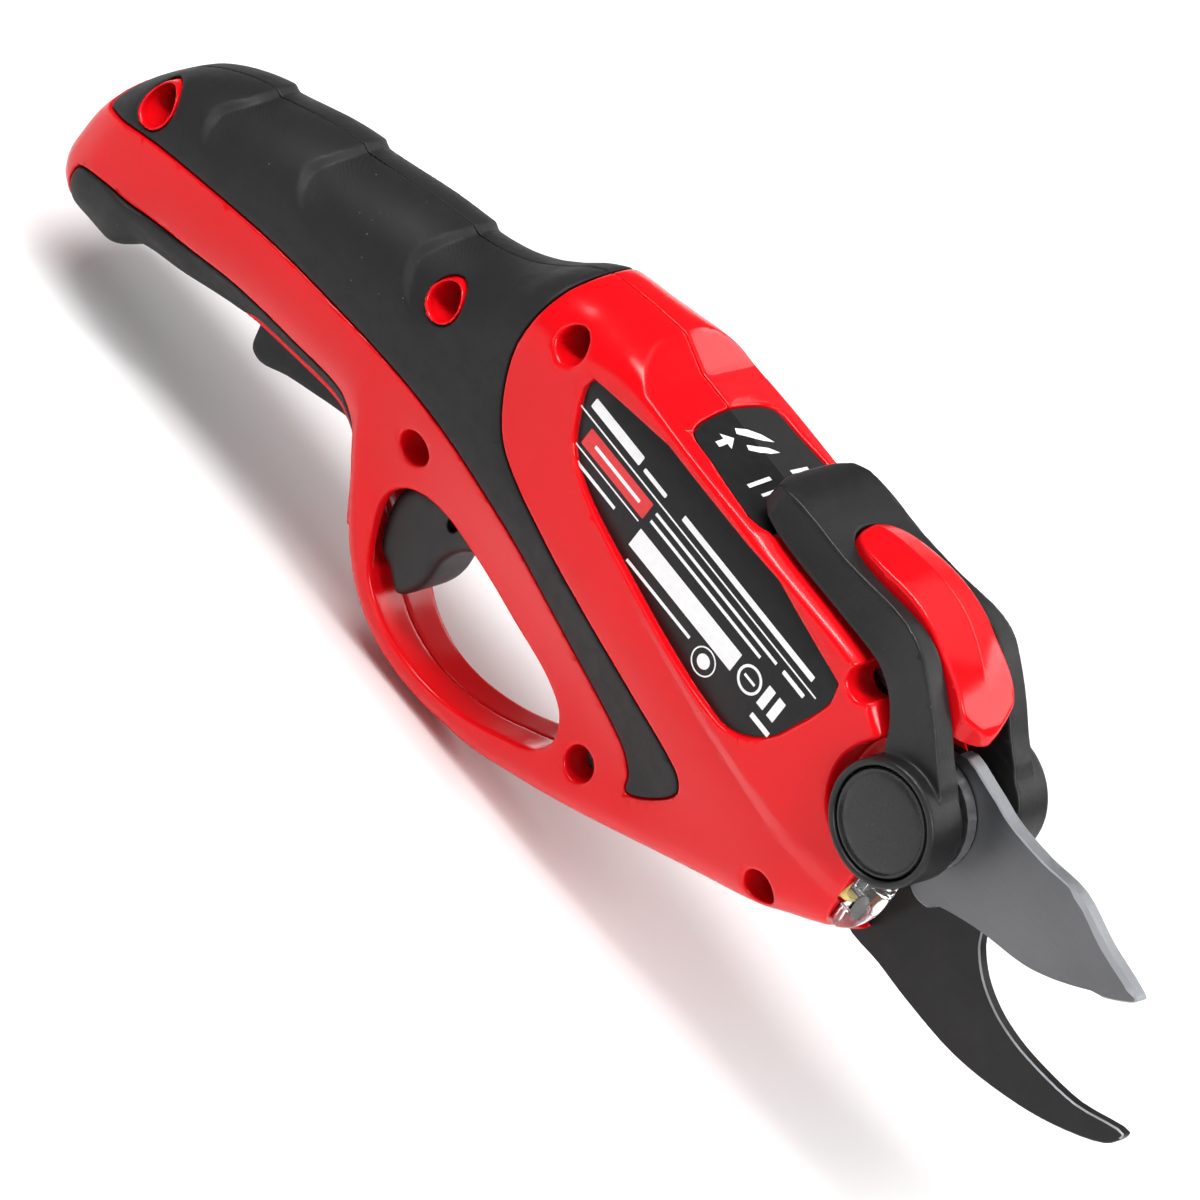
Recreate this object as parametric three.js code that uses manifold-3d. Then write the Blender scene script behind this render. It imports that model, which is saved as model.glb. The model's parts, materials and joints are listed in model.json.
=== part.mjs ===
// Battery electric pruner: a cordless bypass pruner with a looped finger guard.
// Millimetres. +X runs to the nose, +Z is the tool's top, +Y is its left side.
// Everything is drawn round the blade pivot, then moved so that the origin is the centre
// of the whole tool's bounding box.

import * as THREE from "three";
import { mergeVertices } from "three/addons/utils/BufferGeometryUtils.js";
import Module from "manifold-3d";

const wasm = await Module();
wasm.setup();

// ---------------------------------------------------------------- driving dimensions

const GAP = 0.3; // clearance between neighbouring pieces
const SPLIT = GAP / 2; // each housing half stops this far from the middle plane
const WALL = 4.2; // from the outer face of the hull to the hollow inside
const SKIN = 1.5; // thickness of the soft grips
const ARC_STEPS = 3; // facets of each rounded edge of the hull
const SIDE_STEPS = 3; // facets of each side between them

const RING_RADIUS = 13; // rings of the yoke round the pivot
const RING_FACE = 18.3; // outer face of each ring, from the middle plane
const RING_BACK = 8.6; // inner face of each ring
const RING_WEB = 12.3; // outer face of the web inside each ring
const CAP_RADIUS = 11.1;
const CAP_DEPTH = 2;
const BOLT_RADIUS = 4;

const UPPER_BLADE = [-2.9, 0.7]; // span of the moving blade across the tool
const LOWER_BLADE = [1.0, 3.5]; // span of the fixed blade
const HUB_RADIUS = 12;
const NOSE_HALF = 8.3; // half width of the nose between the rings
const NOSE_POCKET = 15.8; // radius of the pocket that clears each ring

const GEAR_FACE = 3.8; // tooth tips of the face gear
const GEAR_TOOTH = 1.8;
const GEAR_BACK = 7.0;
const GEAR_RADII = [16.8, 22.2]; // span of the face gear's teeth
const GEAR_PITCH = 10; // degrees between teeth of the face gear
const PINION_TEETH = 9;
const PINION_RADII = [3.6, 5.4];

const PLANET_TEETH = 9;
const PLANET_COUNT = 3;
const RING_GEAR_TEETH = 27;
const MODULE = 0.75;
const PITCH_RADIUS = (PLANET_TEETH * MODULE) / 2;
const PLANET_ORBIT = 2 * PITCH_RADIUS;
const SHAFT_RADIUS = 2.5;
const MOTOR_SHAFT_RADIUS = 1.2;

const GEARBOX = { from: -54, to: -34.5, radius: 13 };
const MOTOR = { from: -88, to: -56, radius: 12 };
const CELL = { radius: 9.2, length: 65, middle: [-172, 0, -29.5], tilt: 20 };
const CELL_AXIS = new THREE.Vector3(
  Math.cos(THREE.MathUtils.degToRad(CELL.tilt)),
  0,
  Math.sin(THREE.MathUtils.degToRad(CELL.tilt)),
);

const TRIGGER_PIVOT = [-113, -39.2];
const TRIGGER_HALF = 7.5;
const LEVER_PIVOT = [-143.5, -44];
const LEVER_HALF = 7;
// x and z of each screw, and the seat of its head from the middle plane.
const SCREWS = [
  [-213, -31.4, 4],
  [-139.5, -5.5, 5],
  [-112.6, 12.2, 5],
  [-126.3, -34.6, 5],
  [-60.5, -55, 3.5],
  [-14.5, -38, 3.5],
  [-21.5, 16.2, 5.5],
];
const SCREW_RECESS = 3.65;

// Rows of the hull: x, top, bottom, half width above, half width below, round-over at the top
// and at the bottom. The lower part of the rows between x -140 and -60 is the finger guard.
const HULL_ROWS = [
  [-225.3, -44.8, -58.5, 8.5, 8.5, 6, 6],
  [-223.5, -38.6, -63, 11.8, 11.8, 10, 10],
  [-220.5, -33, -66, 14.2, 14.2, 13, 13],
  [-215.5, -26, -67.5, 16.2, 16.2, 17, 17],
  [-207, -19.4, -66, 17.1, 17.1, 20, 20],
  [-200, -15.9, -59.5, 17.4, 17.4, 20, 20],
  [-190, -11.6, -56.2, 17.5, 17.4, 20, 20],
  [-177, -7.4, -51.7, 17.5, 17, 21, 20],
  [-160, -2.4, -48.6, 17.4, 16.5, 21, 20],
  [-148, 1.2, -47.2, 17.2, 16, 21, 20],
  [-141, 3.8, -49, 17.1, 15.2, 20, 16],
  [-136, 6.6, -55, 17, 13.8, 18, 12],
  [-131, 10.8, -62.5, 17, 12.4, 18, 10],
  [-126, 16.2, -69, 17, 11.2, 18, 9],
  [-121, 19.7, -73.6, 17, 10.2, 18, 8],
  [-115, 21.4, -77.2, 17.1, 9.3, 18, 7.5],
  [-108, 22.8, -79.5, 17.2, 8.6, 18, 7.2],
  [-101.5, 23.8, -80.2, 17.2, 8.1, 16, 7.2],
  [-96, 20.8, -80, 17.1, 8, 3.5, 7.2],
  [-84, 20.9, -77.8, 17.6, 8.2, 3.2, 7.5],
  [-70, 20.9, -72.5, 18, 9.2, 3.2, 8],
  [-58, 20.6, -67.2, 18, 10, 3, 8.5],
  [-50, 20.5, -63.3, 17.8, 10.6, 3, 9],
  [-38, 20.5, -57.2, 17.3, 11.4, 3, 10],
  [-27, 20, -51.6, 16.7, 12, 3, 10],
  [-20, 18, -48.2, 16.2, 12, 4, 10],
  [-14, 14, -45, 15.2, 12, 5, 10],
  [-8, 10.5, -41, 13.5, 11.4, 6, 10],
  [-2, 7.5, -37, 11.5, 10.4, 8, 9],
  [3, -3, -33, 9, 8.8, 8, 8],
  [6.5, -14, -28.5, 6, 6, 5, 5],
];
const HULL_TAPER = [-18, -52]; // the sides narrow between these two heights

// Closed outline of the guard's window, with the trigger at its rear.
const WINDOW = [
  [-126.3, -50], [-124.3, -45.3], [-120, -42.3], [-113, -41.3], [-104.5, -42.8],
  [-90, -46], [-76, -48.8], [-70.6, -51.6], [-68, -56.5], [-70, -61.5],
  [-77, -66], [-85, -70], [-94, -72.7], [-103, -73.2], [-112, -71],
  [-119, -66], [-124, -58],
];

// ---------------------------------------------------------------- solids

function toSolid(geometry) {
  const bare = geometry.clone();
  bare.deleteAttribute("normal");
  bare.deleteAttribute("uv");
  const merged = mergeVertices(bare, 1e-4);
  const mesh = new wasm.Mesh({
    numProp: 3,
    vertProperties: new Float32Array(merged.attributes.position.array),
    triVerts: new Uint32Array(merged.index.array),
  });
  return new wasm.Manifold(mesh);
}

function toGeometry(solid) {
  const mesh = solid.getMesh();
  const geometry = new THREE.BufferGeometry();
  geometry.setAttribute("position", new THREE.BufferAttribute(new Float32Array(mesh.vertProperties), 3));
  geometry.setIndex(new THREE.BufferAttribute(new Uint32Array(mesh.triVerts), 1));
  return geometry;
}

function join(first, ...rest) {
  return rest.reduce((sum, next) => sum.add(next), first);
}

function cut(first, ...rest) {
  return rest.reduce((sum, next) => sum.subtract(next), first);
}

function box(x, y, z) {
  const geometry = new THREE.BoxGeometry(x[1] - x[0], y[1] - y[0], z[1] - z[0]);
  geometry.translate((x[0] + x[1]) / 2, (y[0] + y[1]) / 2, (z[0] + z[1]) / 2);
  return toSolid(geometry);
}

// Round bar between two points.
function rod(radius, from, to, sides = 24) {
  const start = new THREE.Vector3(...from);
  const end = new THREE.Vector3(...to);
  const geometry = new THREE.CylinderGeometry(radius, radius, start.distanceTo(end), sides);
  const turn = new THREE.Quaternion().setFromUnitVectors(
    new THREE.Vector3(0, 1, 0),
    end.clone().sub(start).normalize(),
  );
  geometry.applyQuaternion(turn);
  geometry.translate(...start.add(end).divideScalar(2).toArray());
  return toSolid(geometry);
}

function tube(outer, inner, from, to, sides = 24) {
  const axis = new THREE.Vector3(...to).sub(new THREE.Vector3(...from)).normalize();
  const before = new THREE.Vector3(...from).sub(axis).toArray();
  const after = new THREE.Vector3(...to).add(axis).toArray();
  return rod(outer, from, to, sides).subtract(rod(inner, before, after, sides));
}

function shapeFrom(points) {
  return new THREE.Shape(points.map(([u, v]) => new THREE.Vector2(u, v)));
}

// Points round a closed smooth curve through the given ones.
function smoothLoop(points, count) {
  const curve = new THREE.CatmullRomCurve3(
    points.map(([u, v]) => new THREE.Vector3(u, v, 0)),
    true,
    "centripetal",
  );
  return curve.getPoints(count).slice(0, -1).map((p) => [p.x, p.y]);
}

function extrusion(points, span) {
  return new THREE.ExtrudeGeometry(shapeFrom(points), {
    depth: span[1] - span[0],
    bevelEnabled: false,
  });
}

// Plate whose outline is drawn in x and z, between two heights of y.
function sidePlate(points, y) {
  const geometry = extrusion(points, y);
  geometry.rotateX(Math.PI / 2);
  geometry.translate(0, y[1], 0);
  return toSolid(geometry);
}

// Plate whose outline is drawn in x and y, between two heights of z.
function topPlate(points, z) {
  const geometry = extrusion(points, z);
  geometry.translate(0, 0, z[0]);
  return toSolid(geometry);
}

// Plate whose outline is drawn in y and z, between two heights of x.
function endPlate(points, x) {
  const geometry = extrusion(points, x);
  geometry.rotateY(Math.PI / 2);
  geometry.rotateX(Math.PI / 2);
  geometry.translate(x[0], 0, 0);
  return toSolid(geometry);
}

function mirrored(solid) {
  return solid.mirror([0, 1, 0]);
}

// Outline of a spur gear: each tooth has a root corner pair and a tip corner pair.
function gearPoints(teeth, rootRadius, tipRadius, rootWidth, tipWidth, phase = 0) {
  const points = [];
  for (let i = 0; i < teeth; i += 1) {
    const middle = (2 * Math.PI * (i + phase)) / teeth;
    const root = rootWidth / 2 / rootRadius;
    const tip = tipWidth / 2 / tipRadius;
    const corners = [[rootRadius, -root], [tipRadius, -tip], [tipRadius, tip], [rootRadius, root]];
    corners.forEach(([radius, turn]) => {
      points.push([radius * Math.cos(middle + turn), radius * Math.sin(middle + turn)]);
    });
  }
  return points;
}

// ---------------------------------------------------------------- hull

// Value at x of one column of a table of rows, joined smoothly without overshoot.
function columnAt(rows, column, x) {
  let i = 0;
  while (i < rows.length - 2 && x > rows[i + 1][0]) i += 1;
  const slope = (k) => (rows[k + 1][column] - rows[k][column]) / (rows[k + 1][0] - rows[k][0]);
  const tangent = (k) => {
    if (k === 0) return slope(0);
    if (k === rows.length - 1) return slope(k - 1);
    const before = slope(k - 1);
    const after = slope(k);
    return before * after <= 0 ? 0 : (2 * before * after) / (before + after);
  };
  const width = rows[i + 1][0] - rows[i][0];
  const t = THREE.MathUtils.clamp((x - rows[i][0]) / width, 0, 1);
  const a = rows[i][column];
  const b = rows[i + 1][column];
  return (
    a * (1 + 2 * t) * (1 - t) ** 2 +
    b * (3 - 2 * t) * t ** 2 +
    width * (tangent(i) * t * (1 - t) ** 2 - tangent(i + 1) * t ** 2 * (1 - t))
  );
}

// Half section at x, from the top middle to the bottom middle, as pairs of y and z.
function halfSection(rows, x, shrink) {
  const values = [1, 2, 3, 4, 5, 6].map((column) => columnAt(rows, column, x));
  const [top, bottom, above, below, topRound, bottomRound] = values;
  const limit = (top - bottom) * 0.46;
  const upperEnd = top - Math.min(topRound, limit);
  const lowerEnd = bottom + Math.min(bottomRound, limit);
  const high = Math.max(top - shrink, upperEnd + 0.5);
  const low = Math.min(bottom + shrink, lowerEnd - 0.5);
  const side = (z) => {
    const t = THREE.MathUtils.smoothstep(z, HULL_TAPER[1], HULL_TAPER[0]);
    return THREE.MathUtils.lerp(below, above, t) - shrink;
  };
  const points = [];
  const arc = (edge, end) => Array.from({ length: ARC_STEPS + 1 }, (_, i) => {
    const angle = (i / ARC_STEPS) * (Math.PI / 2);
    const z = edge + (end - edge) * (1 - Math.cos(angle));
    return [side(z) * Math.sin(angle), z];
  });
  points.push(...arc(high, upperEnd));
  for (let i = 1; i < SIDE_STEPS; i += 1) {
    const z = THREE.MathUtils.lerp(upperEnd, lowerEnd, i / SIDE_STEPS);
    points.push([side(z), z]);
  }
  points.push(...arc(low, lowerEnd).reverse());
  points[0][0] = 0;
  points[points.length - 1][0] = 0;
  return points;
}

// Closed hull through the rows of a table, each side pulled in by shrink.
function hull(rows, shrink = 0) {
  const positions = [];
  const index = [];
  const rings = rows.map((row, r) => {
    const end = r === 0 ? shrink : r === rows.length - 1 ? -shrink : 0;
    const half = halfSection(rows, row[0], shrink);
    const other = half.slice(1, -1).reverse().map(([y, z]) => [-y, z]);
    return [...half, ...other].map(([y, z]) => [row[0] + end, y, z]);
  });
  const count = rings[0].length;
  rings.forEach((ring) => ring.forEach((point) => positions.push(...point)));
  for (let r = 0; r < rings.length - 1; r += 1) {
    for (let i = 0; i < count; i += 1) {
      const a = r * count + i;
      const b = r * count + ((i + 1) % count);
      index.push(a, a + count, b + count, a, b + count, b);
    }
  }
  const last = (rings.length - 1) * count;
  for (let i = 1; i < count - 1; i += 1) {
    index.push(0, i, i + 1);
    index.push(last, last + i + 1, last + i);
  }
  const geometry = new THREE.BufferGeometry();
  geometry.setAttribute("position", new THREE.Float32BufferAttribute(positions, 3));
  geometry.setIndex(index);
  return toSolid(geometry);
}

// ---------------------------------------------------------------- outlines of the outer skins

// Soft cover of the handle, with a tongue that runs forward along the side.
const GRIP_COVER = [
  [-121.5, 30], [-122.6, 16], [-122.3, 8.3], [-120.8, 0], [-116.7, -8.3], [-111.7, -14.2],
  [-105, -17.8], [-90, -22.3], [-73.3, -26.3], [-56.7, -30.4], [-45, -33.4], [-41, -35.2],
  [-39.4, -38.3], [-42, -43.5],
  [-49, -50.5], [-50.6, -46.5], [-54, -43.2], [-62, -40], [-80, -34.6], [-93.3, -30.4], [-106.7, -27.2],
  [-123.3, -24.8], [-140, -24.5], [-156.7, -25.7], [-173.3, -27.6], [-190, -30.9],
  [-206.7, -35.2], [-230, -42], [-230, 30],
];
// Soft cover under the handle.
const LOWER_GRIP = [
  [-217.5, -54.5], [-212.5, -51.8], [-201, -49], [-190.5, -46.3], [-175, -43], [-158.5, -41.3],
  [-148.5, -40.3], [-143.5, -41.2], [-139.2, -45], [-137, -60], [-217, -80], [-219, -62],
];
const LEVER_SLOT = { x: [-172.5, -137], half: 7.6, top: -41 };
const SIDE_LABEL = [
  [-104, 12], [-25.6, 11.7], [-27.6, -3.5], [-31, -10.5], [-37.5, -15.3], [-44, -15.6], [-56.7, -14],
  [-73.3, -10.6], [-90, -6.4], [-97.5, -2.5], [-101.5, 3],
];
const SIDE_LABEL_FACE = -17;
const SIDE_LABEL_DEPTH = 1;
// Top label, drawn in x and y.
const TOP_LABEL = [
  [-84.9, 0], [-84.5, 6], [-83.6, 10.5], [-82, 12.6], [-76, 13.4], [-53, 13.4],
  [-53, -13.4], [-76, -13.4], [-82, -12.6], [-83.6, -10.5], [-84.5, -6],
];
const TOP_LABEL_FACE = 19.8;
const TOP_LABEL_DEPTH = 1;
const GROOVE = 0.3; // gap round each label and soft grip

// Outline grown outwards by a distance, corner by corner.
function grown(points, distance) {
  const area = points.reduce((sum, [u, v], i) => {
    const [nextU, nextV] = points[(i + 1) % points.length];
    return sum + u * nextV - nextU * v;
  }, 0);
  const sign = Math.sign(area);
  return points.map((point, i) => {
    const before = points[(i + points.length - 1) % points.length];
    const after = points[(i + 1) % points.length];
    const normals = [[before, point], [point, after]].map(([from, to]) => {
      const length = Math.hypot(to[0] - from[0], to[1] - from[1]);
      return [((to[1] - from[1]) / length) * sign, (-(to[0] - from[0]) / length) * sign];
    });
    const sum = [normals[0][0] + normals[1][0], normals[0][1] + normals[1][1]];
    const scale = (2 * distance) / (sum[0] ** 2 + sum[1] ** 2);
    return [point[0] + sum[0] * scale, point[1] + sum[1] * scale];
  });
}

// ---------------------------------------------------------------- housing and its skins

const outside = hull(HULL_ROWS);
const beyond = hull(HULL_ROWS, -3); // past every outer face, so that a recess cuts right through
const insideSkin = hull(HULL_ROWS, SKIN);
const insideRecess = hull(HULL_ROWS, SKIN + GAP);
const leverSlot = box(LEVER_SLOT.x, [-LEVER_SLOT.half, LEVER_SLOT.half], [-80, LEVER_SLOT.top]);
const leverLand = leverBorder(0.7);
const leverRim = leverBorder(0.7 + GAP);

// Block round the slot of the squeeze lever, wider than it by a rim.
function leverBorder(rim) {
  const half = LEVER_SLOT.half + rim;
  return box([LEVER_SLOT.x[0] - 2 - rim, -130], [-half, half], [-80, -20]);
}

function screwRecess(x, z, seat) {
  return rod(SCREW_RECESS + 0.9, [x, -30, z], [x, -seat, z], 14);
}

// Layer between two hulls, within a side outline grown by a distance.
function layer(outline, distance, outer, inner) {
  return sidePlate(grown(outline, distance), [-30, -SPLIT]).intersect(cut(outer, inner));
}

function plainGripCover() {
  return layer(GRIP_COVER, -GROOVE / 2, outside, insideSkin);
}

function gripCoverRight() {
  return cut(plainGripCover(), ...SCREWS.slice(0, 2).map((screw) => screwRecess(...screw)));
}

function lowerGripRight() {
  return cut(layer(LOWER_GRIP, -GROOVE / 2, outside, insideSkin), leverRim);
}

// Recess in one half for its two soft grips.
function skinRecess() {
  const cover = layer(GRIP_COVER, GROOVE / 2, beyond, insideRecess);
  const lower = cut(layer(LOWER_GRIP, GROOVE / 2, beyond, insideRecess), leverLand);
  return join(cover, lower);
}

function labelRecess() {
  return sidePlate(grown(SIDE_LABEL, GROOVE), [-30, SIDE_LABEL_FACE + SIDE_LABEL_DEPTH + GAP]);
}

const cellFrom = CELL_AXIS.clone().multiplyScalar(-CELL.length / 2).add(new THREE.Vector3(...CELL.middle));
const cellTo = CELL_AXIS.clone().multiplyScalar(CELL.length / 2).add(new THREE.Vector3(...CELL.middle));
const alongCell = (point, distance) => CELL_AXIS.clone().multiplyScalar(distance).add(point).toArray();

// Solid part of the housing below and in front of its hollow.
const HOLLOW_FLOOR = [
  [-146, -90], [-146, -44], [-140, -40], [-131, -38], [-103, -38.5], [-76, -44.5], [-62, -37], [-30, -31],
  [-30, 40], [40, 40], [40, -90],
];

// Space inside the housing: a smooth hollow, crossed by ribs that carry the cell, the motor and
// the gearbox, and by the screw bosses.
function hollow() {
  const ribs = [-190, -152, -84, -60, -46].map((x) => box([x, x + 2], [-30, 30], [-90, 40]));
  const bosses = SCREWS.map(([x, z]) => rod(SCREW_RECESS + 1.6, [x, -30, z], [x, 30, z], 12));
  const seats = join(
    rod(CELL.radius + GAP, alongCell(cellFrom, -3), alongCell(cellTo, 3), 20),
    rod(MOTOR.radius + GAP, [MOTOR.from - 5, 0, 0], [MOTOR.to + 1, 0, 0], 24),
    rod(GEARBOX.radius + GAP, [GEARBOX.from - 1, 0, 0], [GEARBOX.to + 1, 0, 0], 24),
    rod(3, [-97, 0, 0], [-60, 0, 0], 12),
  );
  const nose = box([GEARBOX.to, -14], [-GEAR_BACK - GAP, GEAR_BACK + GAP], [-30.5, 14]);
  const slot = box([-14.5, 20], [-GEAR_BACK - GAP, GEAR_BACK + GAP], [-31, 25]);
  const floor = sidePlate(HOLLOW_FLOOR, [-30, 30]);
  return join(cut(hull(HULL_ROWS, WALL), floor, ...ribs, ...bosses), seats, nose, slot);
}

// Pocket behind the guard's window for the trigger, opening up to its switch.
function triggerPocket() {
  const points = [
    [-131.5, -57], [-131.5, -47], [-127, -42], [-122, -41], [-120.5, -35.5], [-103, -35.5],
    [-103, -48], [-112, -72], [-122, -64],
  ];
  return sidePlate(points, [-TRIGGER_HALF - 0.5, TRIGGER_HALF + 0.5]);
}

// Round holes through both halves for the pivot bolt and the two hinge pins.
function pinBores() {
  return [
    rod(BOLT_RADIUS + GAP, [0, -40, 0], [0, 40, 0], 20),
    rod(1.8, [TRIGGER_PIVOT[0], -10.3, TRIGGER_PIVOT[1]], [TRIGGER_PIVOT[0], 10.3, TRIGGER_PIVOT[1]], 12),
    rod(1.5, [LEVER_PIVOT[0], -8.6, LEVER_PIVOT[1]], [LEVER_PIVOT[0], 8.6, LEVER_PIVOT[1]], 12),
  ];
}

// Pocket that clears one ring and arm of the yoke.
function ringPocket() {
  return rod(NOSE_POCKET, [0, -40, 0], [0, -NOSE_HALF, 0], 40);
}

// Slot in the left half for the fixed blade, open at the front and below.
function bladeSlot() {
  return box([-7, 20], [LOWER_BLADE[0] - GAP, LOWER_BLADE[1] + GAP], [-60, -20]);
}

function lampBore() {
  return rod(2.8, [-6, -7, -24], [3, -7, -24], 14);
}

function lensPocket() {
  return box([-0.5, 20], [-30, UPPER_BLADE[0] - 0.1], [-40, -14.5]);
}

// One half of the housing, drawn on the right side, less the cuts of its own.
function housingHalf(...ownCuts) {
  const window = sidePlate(smoothLoop(WINDOW, 30), [-30, 30]);
  const top = topPlate(grown(TOP_LABEL, GROOVE), [TOP_LABEL_FACE - TOP_LABEL_DEPTH - GAP, 40]);
  return cut(
    outside, box([-300, 100], [-SPLIT, 60], [-120, 80]), window, hollow(), leverSlot, triggerPocket(),
    ringPocket(), jackBore(), top, ...pinBores(), ...ownCuts,
  );
}

function housingRight() {
  const rims = SCREWS.slice(0, 2).map(([x, z, seat]) => (
    rod(SCREW_RECESS + 0.6, [x, -30, z], [x, -seat, z], 14)
  ));
  const screws = SCREWS.map(([x, z, seat]) => join(
    rod(SCREW_RECESS, [x, -30, z], [x, -seat, z], 14),
    rod(1.9, [x, -seat - 1, z], [x, 1, z], 8),
  ));
  return housingHalf(cut(skinRecess(), ...rims), labelRecess(), lensPocket(), lampBore(), ...screws);
}

function housingLeft() {
  const screws = SCREWS.map(([x, z]) => rod(1.8, [x, -6.5, z], [x, 1, z], 8));
  return mirrored(housingHalf(skinRecess(), labelRecess(), mirrored(bladeSlot()), ...screws));
}

// Bore of the charging socket in the butt.
function jackBore() {
  return rod(4.3, [-230, 0, -52], [-208, 0, -52], 16);
}

function chargingSocket() {
  return tube(4, 1.9, [-224, 0, -52], [-213, 0, -52], 16);
}

function sideLabel() {
  return sidePlate(SIDE_LABEL, [SIDE_LABEL_FACE, SIDE_LABEL_FACE + SIDE_LABEL_DEPTH]);
}

function topLabel() {
  return topPlate(TOP_LABEL, [TOP_LABEL_FACE - TOP_LABEL_DEPTH, TOP_LABEL_FACE]);
}

function housingScrew([x, z, seat]) {
  const head = rod(3, [x, -seat - 2.7, z], [x, -seat - GAP, z], 12);
  const shank = rod(1.4, [x, -seat - 1, z], [x, 6, z], 8);
  return join(head, shank);
}

// ---------------------------------------------------------------- yoke lever and slider

const ARM_HALF = 14.4; // outer face of each arm
const SLOT_HALF = RING_BACK; // inner face of each arm
const YOKE_TOP = [
  [-63.2, 23.4], [-63.2, 26.4], [-60, 28.4], [-55, 29.3], [-42, 29.3], [-33, 30.2], [-26, 31.1],
  [-21, 31.3], [-16, 30.2], [-11.5, 27.4], [-5.5, 22.6], [0, 17.2], [5.5, 12.2],
];
const YOKE_BOTTOM = [
  [9, 3], [-9.5, 8.4], [-12.6, 13.6], [-17, 18.4], [-22, 20.9], [-28, 21.3], [-52, 21.2], [-60, 22.4],
];
// Ridge of the slider's roof, which falls away to both sides.
const SLIDER_TOP = [
  [-46.6, 30.4], [-44.6, 31.8], [-38, 33.7], [-28, 35.2], [-21, 34.5], [-17, 33.2], [-11, 29.9],
  [-4.5, 24.9], [-0.2, 21],
];
const SLIDER_BOTTOM = [
  [0.4, 17.8], [-2.6, 17.8], [-8, 21.4], [-15, 25], [-22, 26], [-46.6, 26],
];
const SLIDER_DROP = 2.3; // fall of the roof from its ridge to the sides
const SLIDER_EAVES = 27; // height at which that fall begins
const SLIDER_EAVES_RISE = 4; // height over which it grows to its full amount
const SLIDER_RAIL = { x: [-43, -24], half: SLOT_HALF + 1.1, z: [26.3, 28.1] };

// Plan of the yoke: a straight rear edge with rounded corners, open between the arms.
function yokePlan() {
  const rear = [[20, -ARM_HALF], [-50, -14.2], [-56, -13], [-60.4, -10.4], [-62.6, -6], [-63.4, 0]];
  const front = rear.slice(0, -1).reverse().map(([x, y]) => [x, -y]);
  return topPlate([...rear, ...front], [-20, 60]);
}

// Ring round the right end of the pivot, and the bore that takes its cap and the bolt.
function yokeRing() {
  const ring = rod(RING_RADIUS, [0, -RING_FACE, 0], [0, -RING_BACK, 0], 40);
  const bore = rod(CAP_RADIUS + GAP, [0, -30, 0], [0, -RING_WEB, 0], 40);
  const hole = rod(BOLT_RADIUS + GAP, [0, -30, 0], [0, 0, 0], 20);
  return { ring, bore: join(bore, hole) };
}

function yokeLever() {
  const side = sidePlate([...YOKE_TOP, ...YOKE_BOTTOM], [-30, 30]).intersect(yokePlan());
  const slot = box([-47.6, 40], [-SLOT_HALF, SLOT_HALF], [0, 60]);
  const railHalf = SLIDER_RAIL.half + GAP;
  const railHeight = [SLIDER_RAIL.z[0] - GAP, SLIDER_RAIL.z[1] + GAP];
  const grooves = box([-44, -18], [-railHalf, railHalf], railHeight);
  const { ring, bore } = yokeRing();
  const arms = cut(side, slot, grooves);
  return cut(join(arms, ring, mirrored(ring)), bore, mirrored(bore));
}

function releaseSlider() {
  const half = SLOT_HALF - GAP;
  const geometry = new THREE.ExtrudeGeometry(shapeFrom([...SLIDER_TOP, ...SLIDER_BOTTOM]), {
    depth: 2 * half,
    steps: 2,
    bevelEnabled: false,
  });
  geometry.rotateX(Math.PI / 2);
  geometry.translate(0, half, 0);
  const corners = geometry.attributes.position;
  for (let i = 0; i < corners.count; i += 1) {
    const z = corners.getZ(i);
    const share = THREE.MathUtils.clamp((z - SLIDER_EAVES) / SLIDER_EAVES_RISE, 0, 1);
    corners.setZ(i, z - (share * SLIDER_DROP * Math.abs(corners.getY(i))) / half);
  }
  const plan = [
    [-47, -5], [-45, -7.4], [-42, -half], [-6, -half], [-3.8, -7.8], [0.4, 0], [-3.8, 7.8], [-6, half],
    [-42, half], [-45, 7.4], [-47, 5],
  ];
  const rail = box(SLIDER_RAIL.x, [-SLIDER_RAIL.half, SLIDER_RAIL.half], SLIDER_RAIL.z);
  return join(toSolid(geometry).intersect(topPlate(plan, [0, 60])), rail);
}

function pivotCap() {
  const profile = [
    [0, 0], [CAP_RADIUS, 0], [CAP_RADIUS, CAP_DEPTH - 0.6], [CAP_RADIUS - 0.7, CAP_DEPTH],
    [0, CAP_DEPTH],
  ].map(([r, h]) => new THREE.Vector2(r, h));
  const geometry = new THREE.LatheGeometry(profile, 40);
  geometry.rotateX(Math.PI);
  geometry.translate(0, -RING_FACE + CAP_DEPTH, 0);
  return toSolid(geometry);
}

function pivotBolt() {
  const head = rod(7, [0, -16, 0], [0, -RING_WEB - GAP, 0], 20);
  const shank = rod(BOLT_RADIUS, [0, -14, 0], [0, 15.8, 0], 20);
  return join(head, shank);
}

function pivotNut() {
  const hexagon = rod(7, [0, RING_WEB + GAP, 0], [0, 15.9, 0], 6);
  return cut(hexagon, rod(BOLT_RADIUS + GAP, [0, 0, 0], [0, 20, 0], 24));
}

// ---------------------------------------------------------------- blades and drive

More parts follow.
